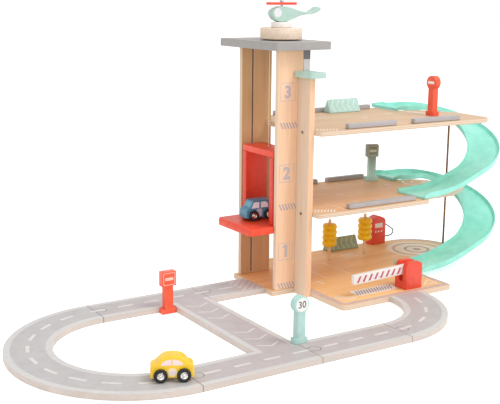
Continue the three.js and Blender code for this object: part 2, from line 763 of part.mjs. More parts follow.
const curveRadius = baseFrontY - seat - frontRoadY;
const curveCentreX = secondSeamX + seat;
const curveCentreY = frontRoadY + curveRadius;
const curve = new THREE.Shape();
curve.absarc(curveCentreX, curveCentreY, curveRadius + roadHalf, -Math.PI / 2, 0, false);
curve.absarc(curveCentreX, curveCentreY, curveRadius - roadHalf, 0, -Math.PI / 2, true);
add('track_curve', cut(board(curve, roadThickness, 16), socket(secondSeamX, frontRoadY, 0)), roadPaint);

// Signs: a head on a post on a wider foot, sawn from one board
function signBlank(postTop, footWidth, head) {
  const footDepth = signDepth + 2 * signFootStep;
  const foot = block(-footWidth / 2, footWidth / 2, -footDepth / 2, footDepth / 2, 0, signFootHeight);
  const across = [-signPostWidth / 2, signPostWidth / 2];
  const stem = block(...across, -signDepth / 2, signDepth / 2, signFootHeight / 2, postTop);
  return join(foot, stem, standing(head, signDepth + seat, 10));
}
function squareSign(totalHeight, width) {
  const head = outline([
    [-width / 2, totalHeight - squareSignHeight], [width / 2, totalHeight - squareSignHeight],
    [width / 2, totalHeight], [-width / 2, totalHeight],
  ]);
  return signBlank(totalHeight - squareSignHeight / 2, squareFootWidth, head);
}
function roundSign(totalHeight, radius) {
  const head = new THREE.Shape();
  head.absarc(0, totalHeight - radius, radius, 0, 2 * Math.PI, false);
  return signBlank(totalHeight - radius, roundFootWidth, head);
}
const stopSignY = backRoadY - roadHalf - stopSignRoadGap - signDepth / 2 - signFootStep;
const stopSign = squareSign(stopSignHeight, stopSignWidth);
add('stop_sign', stopSign, redPaint, crossX - stopSignSetback, stopSignY);
const parkSignTurn = THREE.MathUtils.degToRad(-parkSignTurnDegrees);
const parkSign = squareSign(parkSignHeight, parkSignWidth).rotateZ(parkSignTurn);
add('parking_sign', parkSign, greyGreenPaint, ...onFloor(parkSignShares), levelTop(2) + seat);
const noEntry = roundSign(noEntryHeight, noEntryRadius).rotateZ(Math.PI / 2);
add('no_entry_sign', noEntry, redPaint, ...onFloor(noEntryShares), levelTop(3) + seat);
const speedSign = roundSign(speedSignHeight, speedSignRadius);
const speedSignPlace = [firstSeamX + speedSignOffsetX, frontRoadY + speedSignOffsetY];
add('speed_sign', speedSign, mintPaint, ...speedSignPlace, roadThickness + seat);

// Trees: a turned crown of stacked lobes on a dowel
const crownBore = trunkRadius + crownBoreClearance;
const crownProfile = [new THREE.Vector2(crownBore, 0)];
const lobeHeight = crownHeight / crownLobes;
for (let lobe = 0; lobe < crownLobes; lobe += 1) {
  for (let k = lobe === 0 ? 0 : 1; k <= 4; k += 1) {
    const radius = crownRadius - crownWaist + crownWaist * Math.sin((Math.PI * k) / 4);
    crownProfile.push(new THREE.Vector2(radius, (lobe + k / 4) * lobeHeight));
  }
}
crownProfile.push(new THREE.Vector2(crownBore, crownHeight), crownProfile[0].clone());
const crown = new THREE.LatheGeometry(crownProfile, 20).rotateX(Math.PI / 2);
treeShares.map(onFloor).forEach(([x, y], i) => {
  const foot = baseThickness + seat;
  add(`tree_trunk_${i + 1}`, dowel(trunkRadius, x, y, foot, foot + trunkHeight, 14), wood);
  add(`tree_crown_${i + 1}`, crown.clone(), crownPaint, x, y, baseThickness + crownRaise);
});

// Hedges: triangular bars
const hedgeSection = outline([[-hedgeDepth / 2, 0], [hedgeDepth / 2, 0], [0, hedgeHeight]]);
const hedge = standing(hedgeSection, hedgeLength).rotateZ(Math.PI / 2);
const backParapetY = deckBack - parapetInset / 2 - parapetDepth / 2;
const upperHedgeY = backParapetY - parapetDepth / 2 - hedgeParapetGap - hedgeDepth / 2;
const lowerHedgeY = deckBack - hedgeEdgeGap - hedgeDepth / 2;
const upperHedge = [alongFloor(upperHedgeShare), upperHedgeY, levelTop(3) + seat];
add('upper_hedge', hedge, mintPaint, ...upperHedge);
const lowerHedge = [alongFloor(lowerHedgeShare), lowerHedgeY, levelTop(1) + seat];
add('lower_hedge', hedge.clone(), greyGreenPaint, ...lowerHedge);

// Fuel pump and its hose
const pumpOutline = outline([
  [-pumpWidth / 2, 0], [pumpWidth / 2, 0],
  [pumpWidth / 2, pumpHeight - pumpShoulder / 3, pumpShoulder],
  [0, pumpHeight + pumpShoulder / 3, pumpShoulder],
  [-pumpWidth / 2, pumpHeight - pumpShoulder / 3, pumpShoulder],
]);
const pumpPlace = [...onFloor(pumpShares), baseThickness + seat];
add('pump_body', standing(pumpOutline, pumpDepth, 6), redPaint, ...pumpPlace);
const hoseSide = pumpWidth / 2 + seat;
const hoseShares = [[0, 1], [0.22, 0.98], [0.62, 0.72], [1, 0.36], [0.86, 0.05], [0.45, -0.03], [0, 0]];
const hosePath = new THREE.CatmullRomCurve3(hoseShares.map(([out, up]) => (
  new THREE.Vector3(hoseSide + out * hoseReach, 0, hoseBottom + up * (hoseTop - hoseBottom))
)));
const hoseSection = new THREE.Shape();
hoseSection.absarc(0, 0, hoseRadius, 0, 2 * Math.PI, false);
const hose = new THREE.ExtrudeGeometry(hoseSection, { steps: 26, extrudePath: hosePath, curveSegments: 4 });
add('pump_hose', hose, hoseRubber, ...pumpPlace);

// Barrier: a slotted block, an arm that swings up in the slot, and its pin
const gateX = baseRight - gateSetback;
const gateY = baseFrontY + gateInset;
const gatePivotX = gateX + gatePivotOffset;
const gateOutline = outline([
  [-gateWidth / 2, 0], [gateWidth / 2, 0],
  [gateWidth / 2, gateHeight, gateCornerRadius], [-gateWidth / 2, gateHeight, gateCornerRadius],
]);
const gateSlot = block(
  -gateWidth / 2 - overrun, gateWidth / 2 + overrun,
  -gateSlotWidth / 2, gateSlotWidth / 2, gateSlotFloor, gateHeight + overrun,
);
const gateBoreRadius = gatePinRadius + seat;
const gateFrontPin = gatePinInset - gateDepth / 2;
const gateBoreFront = gateFrontPin - seat;
const gateBore = crossDowel(gateBoreRadius, gatePivotOffset, gatePivotHeight, gateBoreFront, gateDepth, 16);
const gatePost = cut(standing(gateOutline, gateDepth, 5), gateSlot, gateBore);
add('gate_post', gatePost, redPaint, gateX, gateY, baseThickness + seat);
const armOutline = rounded(
  -gateArmLength + gateArmTail, gateArmTail, -gateArmHeight / 2, gateArmHeight / 2, gateArmEndRadius,
);
const armBore = crossDowel(gatePinRadius + gateBoreClearance, 0, 0, -gateDepth, gateDepth, 16);
const armZ = baseThickness + seat + gatePivotHeight;
const arm = cut(standing(armOutline, gateArmThickness, 4), armBore);
arm.rotateY(-THREE.MathUtils.degToRad(gateArmDroopDegrees));
add('gate_arm', arm, whitePaint, gatePivotX, gateY, armZ);
const gatePin = crossDowel(gatePinRadius, gatePivotX, armZ, gateY + gateFrontPin, gateY + gateDepth / 2, 14);
add('gate_pin', gatePin, wood);

// Parapet battens along the front and back edges of the upper floors
const frontParapetY = deckFront + parapetInset + parapetDepth / 2;
const parapetShares = [
  ['level_3_front_left', 3, 0.1567, 0.4235, frontParapetY],
  ['level_3_front_right', 3, 0.5251, 0.803, frontParapetY],
  ['level_3_back', 3, 0.143, 0.7155, backParapetY],
  ['level_2_back_left', 2, 0.143, 0.4002, backParapetY],
  ['level_2_back_right', 2, 0.4606, 0.6893, backParapetY],
];
const landingParapetShare = 0.1743;
const parapets = parapetShares.map(([place, level, startShare, endShare, y]) => (
  [place, level, alongFloor(startShare), alongFloor(endShare), y]
));
const landingParapet = [alongFloor(landingParapetShare), chuteEndX - parapetChuteGap];
parapets.push(['level_2_front', 2, ...landingParapet, frontParapetY]);
for (const [place, level, left, right, y] of parapets) {
  const z0 = levelTop(level) + seat;
  const across = [y - parapetDepth / 2, y + parapetDepth / 2];
  add(`parapet_${place}`, block(left, right, ...across, z0, z0 + parapetHeight), palePaint);
}

// Cars: a wooden body on two wheel sets
const beetleShares = [
  [0, 0], [1, 0], [1, 0.42], [0.985, 0.56], [0.93, 0.64], [0.87, 0.68], [0.8, 0.84], [0.7, 0.95], [0.55, 1],
  [0.42, 1], [0.3, 0.94], [0.2, 0.8], [0.14, 0.68], [0.06, 0.6], [0.015, 0.53], [0, 0.42],
];
const boxShares = [
  [0, 0], [1, 0], [1, 0.42], [0.975, 0.6], [0.9, 0.92], [0.84, 0.99], [0.5, 1], [0.26, 0.98], [0.21, 0.92],
  [0.13, 0.62], [0.04, 0.55], [0.005, 0.46], [0, 0.3],
];
function wheelSetGeometry() {
  const bodySide = carBodyWidth / 2 + wheelGap;
  const face = bodySide + wheelWidth;
  const half = [
    [0, face + hubBulge], [hubRadius * 0.6, face + hubBulge], [hubRadius, face], [wheelRadius * 0.9, face],
    [wheelRadius, face - wheelWidth * 0.2], [wheelRadius, bodySide + wheelWidth * 0.15],
    [wheelRadius * 0.93, bodySide], [carAxleRadius, bodySide],
  ];
  const profile = [...half.map(([r, y]) => [r, -y]), ...half.reverse()];
  return new THREE.LatheGeometry(profile.map(([r, y]) => new THREE.Vector2(r, y)), 22);
}
function car(name, shares, paint, x, y, z, angle, parent) {
  const group = new THREE.Group();
  group.position.set(x, y, z);
  group.rotation.z = angle;
  parent.add(group);
  const nose = -carLength / 2;
  const axles = [nose + carNose, nose + carNose + wheelBase];
  const points = shares.map(([along, up]) => new THREE.Vector2(nose + along * carLength, up * carHeight));
  const bores = axles.map((axleX) => {
    const radius = carAxleRadius + carAxleClearance;
    return crossDowel(radius, axleX, wheelRadius - carSill, -carBodyWidth, carBodyWidth, 12);
  });
  const body = cut(standing(new THREE.Shape(points), carBodyWidth, 1, carBevel), ...bores);
  add(`${name}_car_body`, body, paint, 0, 0, carSill, group);
  ['front', 'rear'].forEach((end, i) => {
    add(`${name}_car_${end}_wheels`, wheelSetGeometry(), tyreRubber, axles[i], 0, wheelRadius, group);
  });
}
const yellowX = turnX - yellowCarSetback;
const yellowY = frontRoadY + yellowCarOffset;
const yellowAngle = THREE.MathUtils.degToRad(-25);
car('yellow', beetleShares, yellowPaint, yellowX, yellowY, roadThickness + seat, yellowAngle, garage);
const blueX = liftLeft + blueCarReach;
car('blue', boxShares, bluePaint, blueX, blueCarOffset, liftFloorThickness + seat, 0, lift);

export default garage;
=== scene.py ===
import math
import bmesh
import bpy
from mathutils import Matrix, Vector


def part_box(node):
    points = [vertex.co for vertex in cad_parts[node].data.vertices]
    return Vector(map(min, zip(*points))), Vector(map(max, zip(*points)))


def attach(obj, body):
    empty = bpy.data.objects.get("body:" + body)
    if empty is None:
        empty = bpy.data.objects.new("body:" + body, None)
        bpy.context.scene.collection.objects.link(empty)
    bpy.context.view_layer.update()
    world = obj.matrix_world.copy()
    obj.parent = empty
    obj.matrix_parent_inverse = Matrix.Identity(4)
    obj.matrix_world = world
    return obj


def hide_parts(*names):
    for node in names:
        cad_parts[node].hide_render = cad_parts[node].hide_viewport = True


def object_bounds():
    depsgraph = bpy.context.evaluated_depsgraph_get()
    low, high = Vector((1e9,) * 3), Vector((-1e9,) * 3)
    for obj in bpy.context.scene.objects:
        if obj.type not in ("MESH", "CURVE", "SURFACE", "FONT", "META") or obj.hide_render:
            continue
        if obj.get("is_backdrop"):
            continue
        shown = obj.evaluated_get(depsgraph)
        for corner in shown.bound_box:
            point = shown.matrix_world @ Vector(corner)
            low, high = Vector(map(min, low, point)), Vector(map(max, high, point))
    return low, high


mm = 0.001
levels = {1: 8, 2: 128, 3: 248}  # the height of each level's floor, in mm
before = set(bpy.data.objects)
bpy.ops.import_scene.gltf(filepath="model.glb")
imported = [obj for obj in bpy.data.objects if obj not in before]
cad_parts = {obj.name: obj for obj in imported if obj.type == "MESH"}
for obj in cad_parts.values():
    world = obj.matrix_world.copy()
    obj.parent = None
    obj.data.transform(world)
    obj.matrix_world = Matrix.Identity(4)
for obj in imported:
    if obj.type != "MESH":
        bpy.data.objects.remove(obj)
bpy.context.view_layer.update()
print("frame loaded")

# Camera, solved from the photograph
eye = Vector((-796.39, -1201.84, 442.15)) * mm
rightward = Vector((0.84546, -0.53396, 0.00900))
upward = Vector((0.10542, 0.18338, 0.97737))
forward = Vector((0.52352, 0.82539, -0.21133))
lens = bpy.data.cameras.new("camera")
lens.lens = 70.1
lens.sensor_width = 36
lens.clip_start = 0.05
lens.clip_end = 40
camera = bpy.data.objects.new("camera", lens)
camera.matrix_world = Matrix.Translation(eye) @ Matrix((rightward, upward, -forward)).transposed().to_4x4()
bpy.context.scene.collection.objects.link(camera)
bpy.context.scene.camera = camera
print("camera placed")


# Links a value or an output to an input, or sets a constant there
def feed(tree, item, slot):
    source = item.socket if isinstance(item, Value) else item
    if isinstance(source, bpy.types.NodeSocket):
        tree.links.new(source, slot)
    else:
        slot.default_value = source


# Feeds a node's inputs by name, where _ stands for a space
def fill(tree, node, **inputs):
    for name, item in inputs.items():
        feed(tree, item, node.inputs[name.replace("_", " ")])
    return node


def addNode(tree, kind, **inputs):
    return fill(tree, tree.nodes.new(kind), **inputs)


# Arithmetic on the values inside a node tree
class Value:
    def __init__(self, tree, socket):
        self.tree = tree
        self.socket = socket

    def math(self, kind, *others):
        node = self.tree.nodes.new("ShaderNodeMath")
        node.operation = kind
        for slot, item in zip(node.inputs, (self, *others)):
            feed(self.tree, item, slot)
        return Value(self.tree, node.outputs[0])

    def __add__(self, other):
        return self.math("ADD", other)

    def __sub__(self, other):
        return self.math("SUBTRACT", other)

    def __mul__(self, other):
        return self.math("MULTIPLY", other)

    def __truediv__(self, other):
        return self.math("DIVIDE", other)

    def least(self, other):
        return self.math("MINIMUM", other)

    def most(self, other):
        return self.math("MAXIMUM", other)

    def above(self, limit):
        return self.math("GREATER_THAN", limit)

    def away(self):
        return self.math("ABSOLUTE")

    def step(self, start, end):
        node = addNode(self.tree, "ShaderNodeMapRange", Value=self, From_Min=start, From_Max=end)
        node.interpolation_type = "SMOOTHSTEP"
        return Value(self.tree, node.outputs[0])


def linear(color):
    return [((c / 255 + 0.055) / 1.055) ** 2.4 if c > 10 else c / 255 / 12.92 for c in color] + [1]


# Shader pieces. Every finish reads object coordinates, in metres.
def coordinates(tree, kind="Object"):
    return tree.nodes.new("ShaderNodeTexCoord").outputs[kind]


def parts(tree, vector):
    return [Value(tree, out) for out in addNode(tree, "ShaderNodeSeparateXYZ", Vector=vector).outputs]


# The scale is one number, or a list with one for each axis
def noise(tree, scale, detail=3, roughness=0.55, distortion=0.0):
    scales = scale if isinstance(scale, list) else [scale] * 3
    mapping = addNode(tree, "ShaderNodeMapping", Vector=coordinates(tree), Scale=scales)
    node = addNode(
        tree, "ShaderNodeTexNoise", Vector=mapping.outputs[0], Scale=1, Detail=detail, Roughness=roughness,
        Distortion=distortion)
    return Value(tree, node.outputs["Fac"])


def blendColor(tree, factor, low, high):
    node = addNode(tree, "ShaderNodeMix", Factor=factor)
    node.data_type = "RGBA"
    for slot, item in ((node.inputs[6], low), (node.inputs[7], high)):
        feed(tree, item if isinstance(item, Value) else linear(item), slot)
    return Value(tree, node.outputs[2])


# Sets a shader's colour, roughness and relief
def dress(tree, shader, color, roughness, height, depth, strength, **settings):
    bump = addNode(tree, "ShaderNodeBump", Strength=strength, Distance=depth * mm, Height=height)
    fill(tree, shader, Base_Color=color, Roughness=roughness, Normal=bump.outputs[0], **settings)


# A material whose coat, one of the functions below, is laid with the recipe's values
def finish(name, coat, *values):
    material = bpy.data.materials.new(name)
    material.use_nodes = True
    coat(material.node_tree, material.node_tree.nodes["Principled BSDF"], *values)
    return material


# Wood fibres along one axis: broad bands and fine streaks
def fibres(tree, axis):
    broad = [34] * 3
    fine = [420] * 3
    broad[axis] = 3
    fine[axis] = 9
    return noise(tree, broad, 4, 0.6, 0.6), noise(tree, fine, 2, 0.6)


plyThickness = 7 * mm
# The back wall's guide slot: its side faces deeper than 47.2 mm get a dark brown, painted shade inside the
# slot
guideSlot = {"x": -2.2, "half": 3, "depth": 47.2, "dark": (92, 44, 8)}


# Plywood: fibres along one axis, soft veins, and on its sawn edges pale layers across the board
def timber(tree, shader, axis, light, dark, edge=None, veneer=None, across=2, slotted=False):
    broad, fine = fibres(tree, axis)
    veins = (broad * 5).math("FRACT").math("PINGPONG", 0.5).step(0.02, 0.45)
    tone = broad.step(0.3, 0.7) * 0.45 + fine.step(0.3, 0.75) * 0.3 + veins * 0.12
    color = blendColor(tree, tone, light, dark)
    spot = parts(tree, coordinates(tree))
    facing = parts(tree, coordinates(tree, "Normal"))
    if edge:
        layer = (spot[across] / plyThickness * 2.5).math("FRACT").math("PINGPONG", 0.5).step(0.2, 0.34)
        sawn = blendColor(tree, fine * 0.15 + layer * 0.6, edge, veneer)
        color = blendColor(tree, facing[across].away().step(0.45, 0.6), sawn, color)
    # Painted shade: the guide slot's side faces, deeper in, turn dark brown
    if slotted:
        beside = (spot[0] / mm - guideSlot["x"]).away() * -1 + guideSlot["half"]
        inside = beside.above(0) * facing[0].away().above(0.5) * (spot[1] / mm).above(guideSlot["depth"])
        color = blendColor(tree, inside, color, guideSlot["dark"])
    sheen, relief = fine * 0.16 + broad * 0.1 + 0.42, fine * 0.6 + veins * 0.4
    dress(tree, shader, color, sheen, relief, 0.12, 0.5, Coat_Weight=0.06, Coat_Roughness=0.35)


scuffed = (235, 225, 215)


# Paint on wood: the grain shows through faintly, with small scuffs.
# A second tone is given as (start, end, tone) and goes by height; on the batten that dark second tone is the
# roof's painted shadow.
def paint(tree, shader, color, shade, axis=2, gloss=0.42, scuff=scuffed, second=None):
    broad, fine = fibres(tree, axis)
    patch = noise(tree, 90)
    base = blendColor(tree, patch.step(0.3, 0.72) * 0.5 + fine.step(0.3, 0.8) * 0.35, color, shade)
    if second:
        start, end, other = second
        height = parts(tree, coordinates(tree))[2] / mm
        base = blendColor(tree, height.step(start, end), base, other)
    tone = blendColor(tree, noise(tree, 700, 1).step(0.74, 0.8) * 0.3, base, scuff)
    sheen, relief = patch * 0.16 + fine * 0.08 + (gloss - 0.1), fine * 0.7 + patch * 0.3
    dress(tree, shader, tone, sheen, relief, 0.07, 0.4, Coat_Weight=0.12, Coat_Roughness=0.3)


def metal(tree, shader, color, shade, gloss):
    brushed = noise(tree, [1500, 160, 160], 2)
    tone = blendColor(tree, noise(tree, 260).step(0.35, 0.7), color, shade)
    dress(tree, shader, tone, brushed * 0.22 + (gloss - 0.08), brushed, 0.02, 0.35, Metallic=1.0)


def rubber(tree, shader, color, shade, gloss):
    fine = noise(tree, 1800, 2)
    tone = blendColor(tree, noise(tree, 300).step(0.3, 0.75), color, shade)
    dress(tree, shader, tone, fine * 0.25 + (gloss - 0.1), fine, 0.04, 0.4)


def plastic(tree, shader, color, shade):
    patch = noise(tree, 45)
    fine = noise(tree, 900, 2)
    tone = blendColor(tree, patch.step(0.3, 0.7), color, shade)
    dress(
        tree, shader, tone, patch * 0.15 + fine * 0.1 + 0.18, fine * 0.6 + patch * 0.4, 0.05, 0.3,
        Subsurface_Weight=0.12, Subsurface_Radius=(0.6, 1, 0.9), Subsurface_Scale=2 * mm,
        Coat_Weight=0.25, Coat_Roughness=0.2,
    )


def twine(tree, shader, color, shade):
    strands = noise(tree, [900, 900, 2600], 2)
    tone = blendColor(tree, strands.step(0.3, 0.7), color, shade)
    dress(tree, shader, tone, strands * 0.2 + 0.7, strands, 0.15, 0.7)


# Road lacquer: a grey bed, a paler band along each edge, bare wood on the sides, and painted shade along the
# joints
roadRules = {"half": 30, "band": 8.3, "fade": 1.0, "back": -3.5, "front": -277, "cross": -152.5, "turn": -289}
roadRules["arc"] = (roadRules["back"] - roadRules["front"]) / 2
roadRules["mid"] = (roadRules["back"] + roadRules["front"]) / 2
tab = {"radius": 8, "neck": 4.5, "reach": 9, "line": 0.35, "soft": 0.8}


# Distance from the line where two road pieces meet, with its round tab
def jointGap(x, y, seamX, rowY):
    dx = x - seamX - tab["reach"]
    dy = y - rowY
    disc = (dx * dx + dy * dy).math("SQRT") * -1 + tab["radius"]
    neck = (dy.away() * -1 + tab["neck"]).least(dx * -1)
    return (x * -1 + seamX).most(disc).most(neck).away()


# The distance to the road's nearest edge sets where the pale band lies
def lacquer(tree, shader, edgeDistance, bed, *ends):
    x, y = [value / mm for value in parts(tree, coordinates(tree))[:2]]
    broad, fine = fibres(tree, 0)
    patch = noise(tree, 70)
    surface = blendColor(tree, patch.step(0.3, 0.7) * 0.6 + fine * 0.4, *bed)
    rim = blendColor(tree, fine.step(0.3, 0.8), (211, 209, 207), (200, 197, 195))
    side = blendColor(tree, broad.step(0.3, 0.7) * 0.6 + fine * 0.4, (214, 202, 195), (194, 181, 171))
    reach, fade = roadRules["band"], roadRules["fade"]
    band = edgeDistance(x, y).step(reach - fade, reach + fade)
    upward = parts(tree, coordinates(tree, "Normal"))[2]
    color = blendColor(tree, upward.step(0.35, 0.8), side, blendColor(tree, band, rim, surface))
    # Painted shade: a dark line along each joint and tab where two road pieces meet
    for end in ends:
        line = jointGap(x, y, *joints[end]).step(tab["line"], tab["soft"]) * -1 + 1
        color = blendColor(tree, line, color, (150, 142, 138))
    sheen, relief = patch * 0.15 + fine * 0.1 + 0.4, fine * 0.6 + patch * 0.4
    dress(tree, shader, color, sheen, relief, 0.08, 0.4, Coat_Weight=0.1, Coat_Roughness=0.35)


plyEdge = (226, 207, 187), (203, 166, 130)
# Woods: the fibres' axis, two tones, the sawn edge's two tones, the axis across the layers.
# Paints: two tones, the fibres' axis, gloss, the scuffs' tone, a second tone.
recipes = {
    timber: {
        "floor": (0, (242, 199, 155), (213, 161, 110), *plyEdge),
        "baseFloor": (0, (251, 205, 147), (221, 166, 102), *plyEdge),
        # The top floor is the floors' plywood made greyer and darker: the glancing sheen and the light on it
        # painted into its colour
        "topFloor": (0, (220, 189, 157), (194, 154, 113), *plyEdge),
        "wall": (2, (245, 205, 170), (228, 180, 140), (230, 212, 192), (212, 176, 140), 1),
        # The back wall is the front wall's plywood in darker tones: painted shade inside the shaft, and
        # painted shade in its slot
        "slotted": (2, (208, 168, 122), (192, 147, 99), (222, 204, 184), (206, 166, 128), 1, True),
        "turned": (1, (247, 229, 211), (222, 191, 160)),
        "dowel": (2, (214, 176, 130), (182, 138, 92)),
        "trunk": (2, (246, 212, 178), (226, 184, 144)),
    },
    paint: {
        # The batten's dark grey above 348 mm is painted shadow cast by the roof
        "batten": ((222, 216, 214), (208, 202, 200), 0, 0.45, scuffed, (347.6, 348.2, (116, 112, 114))),
        "roadMark": ((222, 218, 214), (208, 203, 199), 0, 0.45),
        "pale": ((179, 174, 174), (165, 159, 159), 0, 0.45),
        "roof": ((162, 157, 153), (150, 146, 143), 0, 0.5),
        "mint": ((178, 207, 196), (162, 194, 181), 2, 0.42),
        "hedge": ((186, 222, 214), (168, 206, 197), 1, 0.45),
        "hedgeMark": ((226, 240, 232), (208, 228, 216), 1, 0.45),
        "moss": ((159, 175, 144), (132, 148, 117), 1, 0.5),
        "mossMark": ((200, 210, 190), (184, 194, 172), 1, 0.5),
        "sage": ((194, 239, 235), (176, 220, 215), 2, 0.5, scuffed, (134, 186, (128, 124, 100))),
        "red": ((241, 80, 52), (219, 59, 37), 2, 0.36, (246, 150, 132)),
        "liftRed": ((243, 78, 40), (224, 60, 30), 2, 0.42, (246, 146, 124)),
        # The lift's sides are the lift's red made darker: painted shade inside the cabin
        "liftSideRed": ((228, 60, 30), (208, 46, 22), 2, 0.42, (238, 132, 110)),
        "signRed": ((249, 97, 60), (232, 74, 44), 2, 0.36, (248, 160, 140)),
        "white": ((240, 236, 232), (226, 220, 214), 2, 0.42, (205, 196, 188)),
        "yellow": ((252, 208, 35), (242, 190, 19), 2, 0.34, (250, 226, 130)),
        "blue": ((78, 142, 168), (63, 124, 151), 2, 0.36, (156, 194, 212)),
        "blueGlass": ((108, 162, 180), (96, 150, 170), 2, 0.3),
        "crown": ((252, 210, 9), (237, 181, 4), 2, 0.38, (240, 200, 90)),
        "print": ((246, 242, 238), (234, 228, 222), 0, 0.45, (225, 215, 205)),
        "lilac": ((205, 190, 196), (190, 174, 182), 0, 0.5, (220, 205, 205)),
        "border": ((204, 178, 174), (190, 164, 160), 0, 0.5, (214, 192, 186)),
        "tick": ((172, 163, 177), (160, 151, 165), 0, 0.5, (188, 180, 190)),
        "ringLine": ((184, 148, 126), (170, 134, 112), 0, 0.5, (204, 176, 158)),
        "cream": ((241, 222, 207), (231, 209, 192), 0, 0.5, (228, 206, 188)),
        "greyLilac": ((240, 238, 247), (230, 228, 239), 2, 0.45),
        "digit": ((194, 178, 184), (182, 166, 174), 2, 0.5, (206, 192, 194)),
        "doorSpot": ((250, 232, 176), (244, 222, 158), 2, 0.42),
        "mauve": ((200, 200, 222), (188, 188, 212), 2, 0.5, (214, 206, 216)),
        "mauveLine": ((184, 168, 172), (170, 154, 160), 2, 0.5, (204, 190, 192)),
        "paleLine": ((242, 222, 204), (232, 208, 188), 0, 0.5, (236, 214, 194)),
        "cabinGlass": ((228, 229, 232), (216, 218, 223), 2, 0.4),
        "ink": ((70, 74, 72), (56, 60, 58), 2, 0.5, (110, 112, 110)),
        "stripe": ((196, 84, 110), (178, 68, 94), 0, 0.45, (220, 150, 164)),
        "signLine": ((252, 206, 190), (246, 188, 170), 2, 0.42),
        "blushGrey": ((222, 214, 211), (212, 203, 200), 0, 0.48),
        "blush": ((244, 222, 220), (234, 208, 206), 2, 0.4),
    },
    metal: {
        # The steel rod's brown tone is a painted reflection of the wooden floors around it
        "bronze": ((132, 96, 70), (106, 74, 52), 0.3),
        "chrome": ((222, 220, 218), (198, 190, 184), 0.16),
        "steel": ((190, 190, 192), (168, 168, 170), 0.3),
        "darkSteel": ((150, 128, 104), (120, 100, 80), 0.36),
    },
    rubber: {
        "tyre": ((17, 16, 16), (26, 24, 24), 0.55),
        "hose": ((38, 36, 36), (50, 47, 47), 0.45),
    },
    plastic: {
        "plastic": ((154, 231, 214), (139, 219, 201)),
    },
    twine: {
        "cord": ((238, 224, 200), (216, 198, 168)),
    },
}
finishes = {
    name: finish(name, coat, *values) for coat, rows in recipes.items() for name, values in rows.items()
}


# Each gives the distance to the edge of a stretch of road, inside it
def arcEdge(centreX, centreY, radius):
    def distance(x, y):
        dx = x - centreX
        dy = y - centreY
        return ((dx * dx + dy * dy).math("SQRT") - radius).away() * -1 + roadRules["half"]
    return distance


def rowEdge(side):
    return lambda x, y: (y - roadRules[side]).away() * -1 + roadRules["half"]


def crossEdge(x, y):
    across = (x - roadRules["cross"]).away() * -1 + roadRules["half"]
    bar = across.least((y - roadRules["mid"]).away() * -1 + roadRules["arc"])
    return rowEdge("back")(x, y).most(rowEdge("front")(x, y)).most(bar)


curve = {"x": 22.0, "y": -162.05, "radius": 114.95}
turnEdge = arcEdge(roadRules["turn"], roadRules["mid"], roadRules["arc"])
curveEdge = arcEdge(curve["x"], curve["y"], curve["radius"])
greyBed = (192, 189, 188), (182, 178, 178)
pinkBed = (192, 185, 185), (183, 175, 176)
back, front = roadRules["back"], roadRules["front"]
joints = {
    "turnBack": (-288.85, back), "turnFront": (-288.85, front), "towerEnd": (-121.55, back),
    "straight": (-121.55, front), "curve": (21.85, front),
}
roads = {
    "track_u_turn": (turnEdge, greyBed, "turnBack", "turnFront"),
    "track_crossing": (crossEdge, pinkBed, "turnBack", "turnFront", "towerEnd", "straight"),
    "track_tower_straight": (rowEdge("back"), greyBed, "towerEnd"),
    "track_front_straight": (rowEdge("front"), pinkBed, "straight", "curve"),
    "track_curve": (curveEdge, pinkBed, "curve"),
}
print("finishes made")


# Meshes
def reworked(mesh, *changes):
    work = bmesh.new()
    work.from_mesh(mesh)
    for change in changes:
        change(work)
    work.to_mesh(mesh)
    work.free()
    return mesh


def outward(work):
    bmesh.ops.recalc_face_normals(work, faces=work.faces)


def welded(distance):
    return lambda work: bmesh.ops.remove_doubles(work, verts=work.verts, dist=distance)


def flattened(work):
    bmesh.ops.dissolve_limit(work, angle_limit=math.radians(0.6), verts=work.verts, edges=work.edges)


# A copy of a CAD node's mesh, with its triangles joined to flat faces
def cadMesh(node):
    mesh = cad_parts[node].data.copy()
    mesh.materials.clear()
    reworked(mesh, welded(0.004 * mm), flattened)
    for layer in list(mesh.uv_layers):
        mesh.uv_layers.remove(layer)
    return mesh


# The mesh that a curve, a text or a modified object shows; the object itself goes
def shownMesh(holder):
    bpy.context.scene.collection.objects.link(holder)
    bpy.context.view_layer.update()
    mesh = bpy.data.meshes.new_from_object(holder.evaluated_get(bpy.context.evaluated_depsgraph_get()))
    holder.modifiers.clear()
    bpy.data.objects.remove(holder)
    return mesh


def eased(mesh, width, segments=3, limit=32):
    for polygon in mesh.polygons:
        polygon.use_smooth = True
    holder = bpy.data.objects.new("holder", mesh)
    bevel = holder.modifiers.new("bevel", "BEVEL")
    bevel.width = width
    bevel.segments = segments
    bevel.limit_method = "ANGLE"
    bevel.angle_limit = math.radians(limit)
    bevel.harden_normals = True
    return shownMesh(holder)


def camel(name):
    words = name.replace("_", " ").split()
    return words[0] + "".join(word[0].upper() + word[1:] for word in words[1:])


# Puts a finished mesh in the scene as a piece of a body, in place of the CAD nodes that it shows
def show(name, mesh, body, slotName, tone, *replaced):
    piece = bpy.data.objects.new(camel(name), mesh)
    bpy.context.scene.collection.objects.link(piece)
    mesh.materials.clear()
    mesh.materials.append(finishes[tone])
    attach(piece, body)
    if replaced:
        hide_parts(*replaced)
    return piece


# A CAD node as a piece, with its edges softened by so many millimetres
def fromCad(node, body, slotName, tone, soft=0.8, limit=32):
    return show(node + " finished", eased(cadMesh(node), soft * mm, 3, limit), body, slotName, tone, node)


